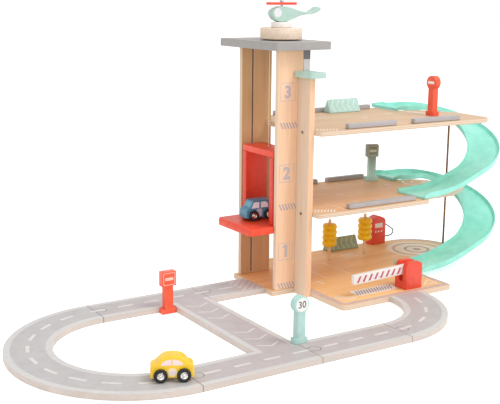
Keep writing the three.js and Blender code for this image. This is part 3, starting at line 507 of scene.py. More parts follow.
# A skin over rows of points in mm, each row a closed ring: the end rows get caps, or join if it is closed
def loft(name, rows, closed=False):
    count, total = len(rows[0]), len(rows)
    faces = [] if closed else [tuple(range(count)), tuple(range((total - 1) * count, total * count))]
    for row in range(total if closed else total - 1):
        low, high = row * count, (row + 1) % total * count
        for k in range(count):
            after = (k + 1) % count
            faces.append((low + k, low + after, high + after, high + k))
    mesh = bpy.data.meshes.new(name)
    mesh.from_pydata([Vector(point) * mm for row in rows for point in row], [], faces)
    return reworked(mesh, outward)


# A prism from an outline: place maps (a, b, depth) to a point
def prism(name, outline, low, high, place):
    return loft(name, [[place(a, b, depth) for a, b in outline] for depth in (low, high)])


# A turned piece from a profile of (radius, along)
def turned(name, profile, place, sides=96, closed=False):
    rows = [[place(*spot, along) for spot in circle(0, 0, radius, sides)] for radius, along in profile]
    return loft(name, rows, closed)


# Shades a mesh smooth up to a limit of degrees between faces
def smoothed(mesh, limit=35):
    def shade(work):
        for face in work.faces:
            face.smooth = True
        for edge in work.edges:
            edge.smooth = len(edge.link_faces) == 2 and edge.calc_face_angle(0) < math.radians(limit)
    return reworked(mesh, shade)


# A smooth path through points, with some steps between each two
def spline(points, perSpan, closed=False):
    made = []
    count = len(points)
    for i in range(count if closed else count - 1):
        around = [i + k if closed else min(max(i + k, 0), count - 1) for k in (-1, 0, 1, 2)]
        four = [points[k % count] for k in around]
        for step in range(perSpan):
            t = step / perSpan
            made.append(tuple(
                0.5 * (2 * b + (c - a) * t + (2 * a - 5 * b + 4 * c - d) * t * t
                       + (3 * b - a - 3 * c + d) * t ** 3)
                for a, b, c, d in zip(*four)
            ))
    if not closed:
        made.append(tuple(points[-1]))
    return made


def onCircle(x, y, radius, angle):
    return x + radius * math.cos(angle), y + radius * math.sin(angle)


def circle(x, y, radius, count=48):
    return [onCircle(x, y, radius, 2 * math.pi * k / count) for k in range(count)]


# An arc from one angle to another, in degrees
def arcPath(x, y, radius, start, end, count=60):
    return [onCircle(x, y, radius, math.radians(start + (end - start) * k / count)) for k in range(count + 1)]


def roundedBox(x0, x1, y0, y1, radius, steps=6):
    corners = ((x1 - radius, y1 - radius), (x0 + radius, y1 - radius), (x0 + radius, y0 + radius),
               (x1 - radius, y0 + radius))
    arcs = [arcPath(*corner, radius, 90 * k, 90 * k + 90, steps) for k, corner in enumerate(corners)]
    return [point for arc in arcs for point in arc]


# Where a print lies: each maps (a, b, height) to a point, with height out of the surface
def onTop(z):
    return lambda a, b, height: (a, b, z + height)


def onFront(y):
    return lambda a, b, height: (a, y - height, b)


def onLeft(x):
    return lambda a, b, height: (x - height, a, b)


printed = {"sunk": -0.06, "proud": 0.12}  # a print's lower and upper face, from the surface it lies on


def patchMesh(name, outline, place):
    return prism(name, outline, printed["sunk"], printed["proud"], place)


def gather(name, meshes):
    steps = [lambda work, mesh=mesh: work.from_mesh(mesh) for mesh in meshes]
    return reworked(bpy.data.meshes.new(name), *steps)


# A geometry node group with number inputs and a material, each named as grow takes it; a count is whole
def group(name, *numbers):
    tree = bpy.data.node_groups.new(name, "GeometryNodeTree")
    kinds = {"Geometry": "Geometry", **{label: "Float" for label in numbers}, "material": "Material"}
    if "count" in kinds:
        kinds["count"] = "Int"
    for label, kind in kinds.items():
        tree.interface.new_socket(label, in_out="INPUT", socket_type="NodeSocket" + kind)
    tree.interface.new_socket("Geometry", in_out="OUTPUT", socket_type="NodeSocketGeometry")
    start = tree.nodes.new("NodeGroupInput")
    end = tree.nodes.new("NodeGroupOutput")
    return tree, start, end, [Value(tree, start.outputs[label]) for label in numbers]


def settle(tree, start, end, geometry):
    real = addNode(tree, "GeometryNodeRealizeInstances", Geometry=geometry)
    coat = addNode(
        tree, "GeometryNodeSetMaterial", Geometry=real.outputs[0], Material=start.outputs["material"])
    tree.links.new(coat.outputs[0], end.inputs[0])
    return tree


# Runs a node group on a base mesh
def grow(name, tree, base, **values):
    holder = bpy.data.objects.new(name, base)
    modifier = holder.modifiers.new(name, "NODES")
    modifier.node_group = tree
    for item in tree.interface.items_tree:
        if item.name in values:
            modifier[item.identifier] = values[item.name]
    return reworked(shownMesh(holder), welded(0.001 * mm), outward)


def combine(tree, x, y, z):
    return addNode(tree, "ShaderNodeCombineXYZ", X=x, Y=y, Z=z).outputs[0]


# A spiral chute: a straight bar with the trough's section, bent along its path by one rule
def chuteTree():
    tree, start, end, values = group(
        "Spiral chute", "straightIn", "straightOut", "radius", "halfWidth", "flare", "flareLength",
        "wallHeight", "lipShare", "floor", "seat", "seatLength", "drop", "dropStart", "dropEnd", "startLip",
        "endLip")
    (straightIn, straightOut, radius, halfWidth, flare, flareLength, wallHeight, lipShare, floor, seat,
     seatLength, drop, dropStart, dropEnd, startLip, endLip) = values
    s, across, up = parts(tree, tree.nodes.new("GeometryNodeInputPosition").outputs[0])
    turn = radius * math.pi
    length = straightIn + turn + straightOut
    fromEnd = s.least(length - s)
    near = (fromEnd / flareLength * -1 + 1).most(0)  # rises to 1 at either mouth
    nearSquared = near * near
    half = halfWidth + flare * nearSquared
    wide = across * (half / halfWidth)
    share = wide / half
    rim = wallHeight * (nearSquared * (lipShare * -1 + 1) * -1 + 1)
    high = up.least(floor) + (up - floor).most(0) / wallHeight * rim
    seated = s.step(seatLength, seatLength * 2) * -1 + 1
    fallen = (s / length).step(dropStart, dropEnd)
    floorZ = (floor + seat) * seated - drop * fallen
    first = (s / length * -1 + 0.5).above(0)
    lip = (startLip * first * -1 + endLip * (first * -1 + 1)) * near
    along = lip * share * share
    angle = (s - straightIn).most(0).least(turn) / radius * -1 + math.pi / 2
    cosine = angle.math("COSINE")
    sine = angle.math("SINE")
    lead = (s - straightIn).least(0)
    tail = (s - straightIn - turn).most(0)
    x = cosine * radius + lead - tail + wide * cosine + along * sine
    y = sine * radius + wide * sine - along * cosine
    shift = addNode(
        tree, "GeometryNodeSetPosition", Geometry=start.outputs["Geometry"],
        Position=combine(tree, x, y, high + floorZ))
    return settle(tree, start, end, shift.outputs[0])


chute = {
    "turnX": 350.85, "turnY": 6.15, "startX": 294.0, "endX": 231.4, "radius": 71.5, "half": 26, "wall": 7,
    "thick": 2.2, "lean": 0.9, "floor": 2.5, "rimRound": 0.9, "foot": 1.2, "steps": 260,
}


# The trough's section, with rounded rims and a rounded foot inside
def troughSection():
    half, floor, thick, lean, foot = (chute[key] for key in ("half", "floor", "thick", "lean", "foot"))
    rimFoot = floor + chute["wall"] - chute["rimRound"]
    side = [(half - foot, 0), (half - 0.35, 0.35), (half, foot)]
    side += [(half + lean * t, foot + (rimFoot - foot) * t) for t in (0.33, 0.66, 1)]
    middle = half + lean - thick / 2
    for k in range(1, 6):
        angle = math.pi * k / 6
        side.append((middle + thick / 2 * math.cos(angle), rimFoot + chute["rimRound"] * math.sin(angle)))
    side += [
        (half + lean - thick, rimFoot), (half - thick + 0.1, floor + 2.2), (half - thick - 0.5, floor + 0.9),
        (half - 2 * thick, floor + 0.2), (half - 3 * thick, floor),
    ]
    return side + [(-a, b) for a, b in reversed(side)]


def chuteBar():
    section = troughSection()
    length = chute["turnX"] - chute["startX"] + math.pi * chute["radius"] + chute["turnX"] - chute["endX"]
    steps = chute["steps"]
    return loft("chute bar", [[(length * i / steps, a, b) for a, b in section] for i in range(steps + 1)])


chuteRule = chuteTree()
for name, level in (("upper_chute", 3), ("lower_chute", 2)):
    made = grow(
        name, chuteRule, chuteBar(), material=finishes["plastic"],
        straightIn=(chute["turnX"] - chute["startX"]) * mm, straightOut=(chute["turnX"] - chute["endX"]) * mm,
        radius=chute["radius"] * mm, halfWidth=chute["half"] * mm, flare=6 * mm, flareLength=30 * mm,
        wallHeight=chute["wall"] * mm, lipShare=0.6, floor=chute["floor"] * mm, seat=0.3 * mm,
        seatLength=12 * mm, drop=117.2 * mm, dropStart=0.12, dropEnd=0.95, startLip=10 * mm, endLip=6 * mm,
    )
    foot = levels[level] - chute["floor"]
    made.transform(Matrix.Translation(Vector((chute["turnX"], chute["turnY"], foot)) * mm))
    show(name + " finished", smoothed(made, 40), "garage", "mint_plastic", "plastic", name)
print("chutes made")


# A row of printed strokes: a stroke is set at even steps along a path and turned with it
def strokeTree():
    tree, start, end, values = group("Printed strokes", "count", "length", "width", "slant", "thickness")
    count, length, width, slant, thickness = values
    across = parts(tree, tree.nodes.new("GeometryNodeInputPosition").outputs[0])[1]
    path = addNode(tree, "GeometryNodeMeshToCurve", Mesh=start.outputs["Geometry"])
    spaced = addNode(tree, "GeometryNodeCurveToPoints", Curve=path.outputs[0], Count=count)
    spaced.mode = "COUNT"
    bar = addNode(tree, "GeometryNodeMeshCube", Size=combine(tree, length, width, thickness))
    shear = addNode(
        tree, "GeometryNodeSetPosition", Geometry=bar.outputs["Mesh"],
        Offset=combine(tree, across * slant, 0, 0))
    turnTo = addNode(tree, "FunctionNodeAlignRotationToVector", Vector=spaced.outputs["Tangent"])
    turnTo.axis = "X"
    copies = addNode(
        tree, "GeometryNodeInstanceOnPoints", Points=spaced.outputs["Points"], Instance=shear.outputs[0],
        Rotation=turnTo.outputs[0])
    return settle(tree, start, end, copies.outputs[0])


strokeRule = strokeTree()


def pathMesh(name, points):
    mesh = bpy.data.meshes.new(name)
    steps = [(i, i + 1) for i in range(len(points) - 1)]
    mesh.from_pydata([Vector(point) * mm for point in points], steps, [])
    return mesh


def strokeMesh(name, points, count, length, width, tone, slant=0.0):
    return grow(
        name, strokeRule, pathMesh(name, points), count=count, length=length * mm, width=width * mm,
        slant=slant, thickness=(printed["proud"] - printed["sunk"]) * mm, material=finishes[tone],
    )


# Both edges of a line of one width along a path
def lineOutline(points, width, closed):
    count = len(points)
    left, right = [], []
    for i in range(count):
        here = Vector(points[i])
        before, after = Vector(points[i - 1]), Vector(points[(i + 1) % count])
        if not closed and i == 0:
            before = here - (after - here)
        if not closed and i == count - 1:
            after = here + (here - before)
        first = (here - before).normalized()
        second = (after - here).normalized()
        normal = Vector((-(first + second).y, (first + second).x)).normalized()
        reach = width / 2 / max(0.35, normal.dot(Vector((-first.y, first.x))))
        left.append(here + normal * reach)
        right.append(here - normal * reach)
    return left, right


# A printed line along a path, closed or open
def lineMesh(name, points, width, place, closed=False):
    low, high = printed["sunk"], printed["proud"]
    return loft(name, [
        (place(*left, low), place(*right, low), place(*right, high), place(*left, high))
        for left, right in zip(*lineOutline(points, width, closed))
    ], closed)


# Floors, base, walls, roof
boards = {
    "base_board": ("wood", "baseFloor", 0.9), "level_2_floor": ("wood", "floor"),
    "level_3_floor": ("wood", "topFloor"), "front_wall": ("wood", "wall"), "back_wall": ("wood", "slotted"),
    "corner_post": ("wood", "wall"), "roof_plate": ("roof_paint", "roof", 1.1),
    "post_cap": ("mint_paint", "mint"), "corner_batten": ("pale_paint", "batten", 0.7),
}
for node, values in boards.items():
    fromCad(node, "garage", *values)
for node in sorted(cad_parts):
    if node.startswith("parapet_"):
        fromCad(node, "garage", "pale_paint", "pale")
for node in ("post_screw_2", "post_screw_3"):
    fromCad(node, "garage", "steel", "darkSteel", 0.15)
# The steel rod wears a brown tone, the painted reflection of the wooden floors
fromCad("support_rod", "garage", "steel", "bronze", 0.2, 60)
print("tower and floors made")

# Lift
# The lift's sides take the darker red, painted shade inside the cabin
for node in ("lift_front_side", "lift_back_side"):
    fromCad(node, "lift", "red_paint", "liftSideRed", 0.9)
for node, soft in {"lift_floor": 4, "lift_top": 0.9}.items():
    fromCad(node, "lift", "red_paint", "liftRed", soft)
fromCad("lift_guide_peg", "lift", "steel", "steel", 0.3, 60)

# Road
for node, rule in roads.items():
    finishes[node] = finish(node, lacquer, *rule)
    fromCad(node, "garage", "road_paint", node, 1.3)
print("road made")

# Furniture and barrier
furniture = {
    "stop_sign": ("red_paint", "signRed"), "parking_sign": ("grey_green_paint", "sage"),
    "no_entry_sign": ("red_paint", "signRed"), "speed_sign": ("mint_paint", "hedge"),
    "upper_hedge": ("mint_paint", "hedge", 1.0), "lower_hedge": ("grey_green_paint", "moss", 1.0),
    "pump_body": ("red_paint", "red", 1.0), "gate_post": ("red_paint", "red", 0.9),
}
for node, values in furniture.items():
    fromCad(node, "garage", *values)
fromCad("gate_arm", "gate_arm", "white_paint", "white")
fromCad("gate_pin", "garage", "wood", "dowel", 0.3, 60)

# Winding knob with its landing stand, turned round one axis
knob = {
    "x": 15.35, "y": -3.35, "foot": 373.5, "radius": 31, "hub": 16.4, "hubHeight": 4.4, "thick": 13,
    "bore": 4.3, "skirt": 24, "skirtHeight": 3.2, "soft": 1.2,
}
stand = {"radius": 15.3, "gap": 0.3, "height": 8, "footSoft": 0.8, "topSoft": 1.0}
axisGap = 0.01  # a closed turned piece ends this close to its axis


def aboutKnob(a, b, along):
    return knob["x"] + a, knob["y"] + b, knob["foot"] + along


# A quarter round: at the foot it turns from below to the side, at the top from the side to above
def roundedEdge(radius, along, soft, atTop, steps=4):
    made = []
    for k in range(steps + 1):
        angle = math.pi / 2 * (k / steps - (0 if atTop else 1))
        level = along + soft * math.sin(angle) + (-soft if atTop else soft)
        made.append((radius - soft + soft * math.cos(angle), level))
    return made


discTop = knob["hubHeight"] + knob["thick"]
skirtFoot = knob["hubHeight"] - knob["skirtHeight"]
knobProfile = [
    (knob["bore"], 0), (knob["hub"], 0), (knob["hub"], knob["hubHeight"]), (knob["skirt"], knob["hubHeight"]),
    (knob["skirt"], skirtFoot), *roundedEdge(knob["radius"], skirtFoot, knob["soft"], False),
    *roundedEdge(knob["radius"], discTop, knob["soft"], True), (knob["bore"], discTop),
]
disc = turned("knob disc", knobProfile, aboutKnob, closed=True)
show("knob disc", smoothed(disc), "knob", "wood", "turned", "helipad_knob")
fromCad("knob_axle", "knob", "wood", "dowel", 0.4, 60)
standFoot = discTop + stand["gap"]
standTop = standFoot + stand["height"]
standProfile = [
    (axisGap, standFoot), *roundedEdge(stand["radius"], standFoot, stand["footSoft"], False),
    *roundedEdge(stand["radius"], standTop, stand["topSoft"], True), (axisGap, standTop),
]
landingStand = turned("stand", standProfile, aboutKnob)
show("landing stand", smoothed(landingStand), "knob", "white_paint", "white", "helicopter_stand")

# The cord's turns on the hub, as a spiral with a round section that starts where the lift's cord hangs:
# "hangs" from the knob's axis, "behind" its middle
winding = {"radius": 17.2, "turns": 2, "step": 1.45, "cord": 0.5, "low": 0.8, "hangs": 18.0, "behind": 3}


def windingTree():
    tree, start, end, values = group("Wound cord", "turns", "radius", "height", "startAngle", "cordRadius")
    turns, radius, height, startAngle, cordRadius = values
    spiral = addNode(
        tree, "GeometryNodeCurveSpiral", Resolution=64, Reverse=True, Start_Radius=radius, End_Radius=radius,
        Height=height, Rotations=turns)
    turnBy = addNode(
        tree, "GeometryNodeTransform", Geometry=spiral.outputs[0], Rotation=combine(tree, 0, 0, startAngle))
    section = addNode(tree, "GeometryNodeCurvePrimitiveCircle", Resolution=12, Radius=cordRadius)
    tube = addNode(
        tree, "GeometryNodeCurveToMesh", Fill_Caps=True, Curve=turnBy.outputs[0],
        Profile_Curve=section.outputs[0])
    return settle(tree, start, end, tube.outputs[0])


startAngle = math.atan2(winding["behind"], -math.sqrt(winding["hangs"] ** 2 - winding["behind"] ** 2))
coil = grow(
    "cord coil", windingTree(), pathMesh("start", [(0, 0, 0), (0, 0, 1)]), turns=float(winding["turns"]),
    radius=winding["radius"] * mm, height=winding["turns"] * winding["step"] * mm, startAngle=startAngle,
    cordRadius=winding["cord"] * mm, material=finishes["cord"],
)
coil.transform(Matrix.Translation(Vector(aboutKnob(0, 0, winding["low"])) * mm))
show("wound cord", smoothed(coil), "knob", "cord", "cord", "cord_winding")
fromCad("lift_cord", "garage", "cord", "cord", 0.1, 80)

# Helicopter, from its outline in shares of its length and height
helicopter = {"length": 86, "height": 22, "thick": 13, "nose": 20, "foot": discTop + 8.6, "inset": 0.15}
heliShares = [
    (0, 0.59), (0.07, 0.86), (0.22, 1), (0.4, 0.89), (0.61, 0.66), (0.77, 0.62), (0.87, 0.79), (0.95, 0.96),
    (1, 0.82), (0.95, 0.66), (0.85, 0.53), (0.71, 0.48), (0.57, 0.39), (0.44, 0.2), (0.32, 0.03), (0.16, 0),
    (0.05, 0.2),
]
outline = [
    (a * helicopter["length"] - helicopter["nose"], b * helicopter["height"])
    for a, b in spline(heliShares, 7, closed=True)
]
cheek = helicopter["thick"] / 2 - helicopter["inset"]


def besideKnob(a, b, depth):
    return aboutKnob(a, depth, helicopter["foot"] + b)


hull = eased(prism("helicopter", outline, -cheek, cheek, besideKnob), 1.6 * mm, 4, 50)
show("helicopter body finished", hull, "knob", "mint_paint", "mint", "helicopter_body")
cabin = {"along": -10.5, "up": 12.9, "radius": 6.6}
for side, flip in (("front", -1), ("back", 1)):
    pane = prism(
        "window", circle(cabin["along"], cabin["up"], cabin["radius"]), cheek - 0.1, cheek + 0.14,
        lambda a, b, depth, flip=flip: besideKnob(a, b, flip * depth))
    show("helicopter window " + side, pane, "knob", "white_paint", "cabinGlass")

# Rotor and its pin
rotor = {"half": 26, "halfWidth": 4, "round": 3.9, "thick": 3.6, "gap": 2.2}
rotorFoot = helicopter["foot"] + helicopter["height"] + rotor["gap"]
blade = prism(
    "rotor",
    roundedBox(-rotor["half"], rotor["half"], -rotor["halfWidth"], rotor["halfWidth"], rotor["round"], 8),
    0, rotor["thick"], lambda a, b, height: aboutKnob(a, b, rotorFoot + height))
show("rotor blade finished", eased(blade, 0.9 * mm, 3, 50), "rotor", "red_paint", "red", "rotor_blade")
fromCad("rotor_pin", "knob", "steel", "steel", 0.3)

# Trees: dowels and crowns turned as stacked lobes
trees = {"radius": 12.1, "waist": 2.5, "lobes": 4, "height": 37.4, "foot": 32.5, "bore": 2.8, "steps": 14}
lobe = trees["height"] / trees["lobes"]
crownProfile = [(trees["bore"], 0)]
for k in range(trees["lobes"] * trees["steps"] + 1):
    swell = abs(math.sin(math.pi * k / trees["steps"])) ** 0.7
    crownProfile.append((trees["radius"] - trees["waist"] * (1 - swell), k / trees["steps"] * lobe))
crownProfile.append((trees["bore"], trees["height"]))
for number in (1, 2):
    trunk = f"tree_trunk_{number}"
    low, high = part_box(trunk)
    middle = (low + high) / 2 / mm
    crown = smoothed(turned(
        "crown", crownProfile, lambda a, b, along: (middle.x + a, middle.y + b, trees["foot"] + along),
        72, True), 50)
    show(f"tree crown {number}", crown, "garage", "crown_paint", "crown", f"tree_crown_{number}")
    fromCad(trunk, "garage", "wood", "trunk", 0.8, 60)

# Fuel pump's hose: one stiff rubber cord from the pump's side and back into it
pump = {"foot": 8.3, "side": 15.8, "reach": 24.5, "low": 10.5, "high": 32.5, "radius": 1}
hoseShares = [(0, 1), (0.22, 0.98), (0.62, 0.72), (1, 0.36), (0.86, 0.05), (0.45, -0.03), (0, 0)]


# A centripetal Catmull-Rom spline at even steps of its parameter, as in the part's source
def splineRoute(points, total):
    made = []
    count = len(points)
    for i in range(total + 1):
        place = (count - 1) * i / total
        span = min(int(place), count - 2)
        t = place - span
        b, c = Vector(points[span]), Vector(points[span + 1])
        a = Vector(points[span - 1]) if span > 0 else 2 * b - c
        d = Vector(points[span + 2]) if span + 2 < count else 2 * c - b
        dt0, dt1, dt2 = ((q - p).length_squared ** 0.25 for p, q in ((a, b), (b, c), (c, d)))
        first = ((b - a) / dt0 - (c - a) / (dt0 + dt1) + (c - b) / dt1) * dt1
        last = ((c - b) / dt1 - (d - b) / (dt1 + dt2) + (d - c) / dt2) * dt1
        square, cube = 3 * (c - b) - 2 * first - last, 2 * (b - c) + first + last
        made.append(b + first * t + square * t * t + cube * t ** 3)
    return made


low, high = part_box("pump_body")
pumpX, pumpY = (low.x + high.x) / 2 / mm, (low.y + high.y) / 2 / mm
hosePoints = [
    (pumpX + pump["side"] + out * pump["reach"], pumpY,
     pump["foot"] + pump["low"] + up * (pump["high"] - pump["low"]))
    for out, up in hoseShares
]
hoseRoute = splineRoute(hosePoints, 96)
hoseCurve = bpy.data.curves.new("pump hose", "CURVE")
hoseCurve.dimensions = "3D"
hoseCurve.bevel_depth = pump["radius"] * mm
hoseCurve.bevel_resolution = 4
hoseCurve.use_fill_caps = True
hoseLine = hoseCurve.splines.new("POLY")
hoseLine.points.add(len(hoseRoute) - 1)
for spot, point in zip(hoseLine.points, hoseRoute):
    spot.co = (*(point * mm), 1)
hoseTube = shownMesh(bpy.data.objects.new("hose line", hoseCurve))
hose = show("pump hose", smoothed(hoseTube, 60), "garage", "hose_rubber", "hose", "pump_hose")
hoseLength = sum((b - a).length for a, b in zip(hoseRoute, hoseRoute[1:])) * mm
hoseRoute[0] * mm
[point * mm for point in hoseRoute]
print("turned pieces and cords made")

# Cars: a sawn body from its upper outline in shares of length and height, and turned wheels
cars = {
    "length": 50, "width": 20, "sill": 4, "height": 26.5, "wheel": 8.1, "tread": 3.6, "gap": 0.5,
    "nose": 11.5, "base": 26.6, "axle": 1.5, "hub": 4.4, "inset": 0.12,
}
beetle = [
    (1, 0.42), (0.985, 0.56), (0.93, 0.64), (0.87, 0.68), (0.8, 0.84), (0.7, 0.95), (0.55, 1), (0.42, 1),
    (0.3, 0.94), (0.2, 0.8), (0.14, 0.68), (0.06, 0.6), (0.015, 0.53), (0, 0.42),
]
van = [
    (1, 0.42), (0.975, 0.6), (0.9, 0.92), (0.84, 0.99), (0.5, 1), (0.26, 0.98), (0.21, 0.92), (0.13, 0.62),
    (0.04, 0.55), (0.005, 0.46), (0, 0.3),
]
cheekSide = cars["width"] / 2 - cars["inset"]


def placer(x, y, z, degrees):
    turn = Matrix.Rotation(math.radians(degrees), 3, "Z")
    return lambda a, depth, b: Vector((x, y, z)) + turn @ Vector((a, depth, b))


places = {"yellow": placer(-309.4, -271, 8.3, -25), "blue": placer(-15.65, 8.15, 105.3, 0)}


def bodyPoint(along, up):
    return (along - 0.5) * cars["length"], up * cars["height"] + cars["sill"]


# Wheel profiles as (radius, distance from the car's middle)
inner = cars["width"] / 2 + cars["gap"]
outer = inner + cars["tread"]
wheel, hub = cars["wheel"], cars["hub"]
tyreProfile = [
    (hub + 0.2, inner), (wheel - 0.9, inner), (wheel - 0.25, inner + 0.25), (wheel, inner + 0.9),
    (wheel, outer - 0.9), (wheel - 0.25, outer - 0.25), (wheel - 0.9, outer), (hub + 1.5, outer),
    (hub + 0.9, outer - 0.35), (hub + 0.2, outer - 0.5),
]
hubProfile = [
    (axisGap, inner + 0.1), (hub, inner + 0.1), (hub, outer - 0.6), (hub - 0.3, outer - 0.25),
    (hub - 0.9, outer - 0.35), (hub - 1.6, outer - 0.9), (2.2, outer - 1.0), (2.0, outer - 0.1),
    (1.6, outer + 0.6), (0.9, outer + 0.95), (axisGap, outer + 1),
]
axleProfile = [(cars["axle"], -inner + 0.1), (cars["axle"], inner - 0.1)]


def carPieces(car, shares):
    outline = [bodyPoint(*share) for share in [(0, 0), (1, 0)] + spline(shares, 6)]
    solid = prism(car + " body", outline, -cheekSide, cheekSide, lambda a, b, depth: places[car](a, depth, b))
    show(car + " body", eased(solid, 1.7 * mm, 4, 50), car + "_car", car + "_paint", car, car + "_car_body")
    for end, offset in (("front", 0), ("rear", cars["base"])):
        centre = cars["nose"] - cars["length"] / 2 + offset

        def aboutAxle(flip):
            return lambda a, b, along: places[car](centre + a, flip * along, wheel + b)
        tyres = [turned("tyre", tyreProfile, aboutAxle(flip), 64, closed=True) for flip in (-1, 1)]
        hubs = [turned("hub", hubProfile, aboutAxle(flip), 48) for flip in (-1, 1)]
        hubs.append(turned("axle", axleProfile, aboutAxle(1), 24))
        body = f"{car}_{end}_wheels"
        show(f"{car} {end} tyres", smoothed(gather("tyres", tyres), 40), body, "wheel_plastic", "tyre",
             f"{car}_car_{end}_wheels")
        show(f"{car} {end} hubs", smoothed(gather("hubs", hubs), 40), body, "steel", "chrome")


# The same print on both sides of a car
def sidePrints(car, label, outline, tone, proud=0.14):
    for side, flip in (("left", -1), ("right", 1)):
        mesh = prism(label, outline, cars["width"] / 2 - 0.3, cheekSide + proud,
                     lambda a, b, depth, flip=flip: places[car](a, flip * depth, b))
        show(f"{car} {label} {side}", mesh, car + "_car", "white_paint", tone)


carPieces("yellow", beetle)
carPieces("blue", van)

# The yellow car's windows are quarter ovals: the corner's place along the car, the width, the way it opens
ovals = {"rear window": (0.475, 0.235, -1), "front window": (0.505, 0.24, 1)}
for label, (along, width, flip) in ovals.items():
    x, z = bodyPoint(along, 0.585)
    outline = [(x, z)]
    for k in range(11):
        angle = math.pi / 2 * k / 10
        out, up = flip * width * cars["length"], 0.27 * cars["height"]
        outline.append((x + out * math.cos(angle), z + up * math.sin(angle)))
    sidePrints("yellow", label, outline, "blush")
doorX, doorZ = bodyPoint(0.5, 0.27)
sidePrints("yellow", "door spot", circle(doorX, doorZ, 5.4), "doorSpot")
sidePrints("yellow", "door centre", circle(doorX, doorZ, 3.3), "blush", 0.2)
windowShares = {
    "front window": [(0.17, 0.56), (0.44, 0.56), (0.44, 0.9), (0.27, 0.9), (0.24, 0.86)],
    "rear window": [(0.5, 0.56), (0.76, 0.56), (0.73, 0.82), (0.66, 0.9), (0.5, 0.9)],
}
for label, shares in windowShares.items():
    sidePrints("blue", label, [bodyPoint(*share) for share in shares], "greyLilac")
doorShares = [(0.35, 0.08), (0.55, 0.08), (0.55, 0.42), *arcPath(0.45, 0.42, 0.1, 18, 162, 8), (0.35, 0.42)]
sidePrints("blue", "door", [bodyPoint(*share) for share in doorShares], "mauve")
screen = [bodyPoint(*share) for share in ((0.135, 0.64), (0.205, 0.9), (0.25, 0.86), (0.19, 0.62))]
windscreen = prism("screen", screen, -7.6, 7.6, lambda a, b, depth: places["blue"](a - 0.12, depth, b))
show("blue windscreen", windscreen, "blue_car", "white_paint", "blueGlass")
print("cars made")


# Prints on the tower's front: level numbers in thin frames over slanted bars
def numberMesh(words, size, bold, matrix):
    font = bpy.data.curves.new("number", "FONT")
    font.body = words
    font.size = size * mm
    font.offset = bold * mm
    font.align_x = "CENTER"
    font.align_y = "CENTER"
    font.extrude = (printed["proud"] - printed["sunk"]) / 2 * mm
    font.resolution_u = 8
    mesh = shownMesh(bpy.data.objects.new("number", font))
    mesh.transform(matrix)
    return mesh


# Turns a print from the ground plane to a wall that faces -Y
def wallTurn(x, y, z):
    return Matrix.Translation(Vector((x, y, z)) * mm) @ Matrix.Rotation(math.pi / 2, 4, "X")


layer = (printed["proud"] + printed["sunk"]) / 2  # the middle of a print's thickness
tower = {
    "front": -52.35, "x": -4.55, "halfWidth": 12.6, "halfHeight": 12.7, "digit": 24.5, "bold": 1.0,
    "drop": 0.8, "rise": 0.7, "barsFrom": (-14.5, 0, 0), "barsTo": (10.9, 0, 0),
}
numberOne = [(3, -9.5), (3, 9.5), (-0.6, 9.5), (-5, 7.3), (-5, 4.6), (-1.4, 6), (-1.4, -9.5)]
onTower = onFront(tower["front"])
for number, (numberZ, barsZ) in {1: (66.3, 13.6), 2: (183.7, 133.6), 3: (302, 253.6)}.items():
    border = roundedBox(tower["x"] - tower["halfWidth"], tower["x"] + tower["halfWidth"],
                        numberZ - tower["halfHeight"], numberZ + tower["halfHeight"], 1.5, 3)
    frameLine = lineMesh("frame", border, 0.9, onTower, True)
    show(f"number frame {number}", frameLine, "garage", "grey_green_paint", "lilac")
    if number == 1:  # the font's 1 is a bare bar
        outline = [(tower["x"] + a, numberZ + tower["rise"] + b) for a, b in numberOne]
        digit = patchMesh("number", outline, onTower)
    else:
        matrix = wallTurn(tower["x"], tower["front"] - layer, numberZ - tower["drop"])
        digit = numberMesh(str(number), tower["digit"], tower["bold"], matrix)
    show(f"number {number}", digit, "garage", "grey_green_paint", "digit")
    bars = strokeMesh("bars", [tower["barsFrom"], tower["barsTo"]], 6, 2.4, 9, "mauveLine", -0.5)
    bars.transform(wallTurn(0, tower["front"] - layer, barsZ))
    show(f"tower bars {number}", bars, "garage", "grey_green_paint", "mauveLine")
print("tower prints made")


# Prints on the floors
def floorStrokes(name, level, rows, count, length, width, tone, slant=0.0, lift=0.0, slotName="white_paint"):
    z = levels[level] + layer + lift
    made = [strokeMesh(name, [(a, b, z) for a, b in row], count, length, width, tone, slant) for row in rows]
    show(name, gather(name, made), "garage", slotName, tone)


def floorLines(name, level, paths, width, tone, closed=False, slotName="white_paint"):
    made = [lineMesh(name, points, width, onTop(levels[level]), closed) for points in paths]
    show(name, gather(name, made), "garage", slotName, tone)


def floorPatch(name, outline, tone, slotName="white_paint", lift=0.0):
    show(name, patchMesh(name, outline, onTop(levels[1] + lift)), "garage", slotName, tone)


bayLines = {
    1: [((130, -38), (130, 37)), ((84, -38), (84, 37))],
    2: [((77, -38), (77, -94)), *[((x, -38), (x, -82)) for x in (125.5, 166, 206)],
        *[((x, 42), (x, 86)) for x in (97, 142.5, 186, 234)]],
    3: [((97, 42), (97, 86)), ((142.5, 42), (142.5, 68)), ((125.5, -38), (125.5, -82)),
        ((190, -38), (190, -92))],
}
laneDashes = {
    1: [((61, -44), (63, -60))],
    2: [((134.8, 8), (139.5, -3.6)), ((196, 5.1), (201.8, -3.8)), ((251.5, 30.4), (257.2, 21.2))],
    3: [((242.5, 28.6), (248.5, 17.9)), ((180, 8), (185, -2))],
}
hatches = {
    1: (((37, -124), (58, -141.5)), 18, 0.3, "paleLine"),
    2: (((32.6, -74.5), (56.6, -89.5)), 16.5, 0.14, "print"),
    3: (((32.6, -74.5), (56.6, -89.5)), 16.5, 0.14, "paleLine"),
}
for level in levels:
    floorLines(f"bay lines {level}", level, bayLines[level], 1.8, "paleLine")
    floorLines(f"lane dashes {level}", level, laneDashes[level], 2.6, "print")
    row, length, slant, tone = hatches[level]
    floorStrokes(f"corner bars {level}", level, [row], 7, 2, length, tone, slant)
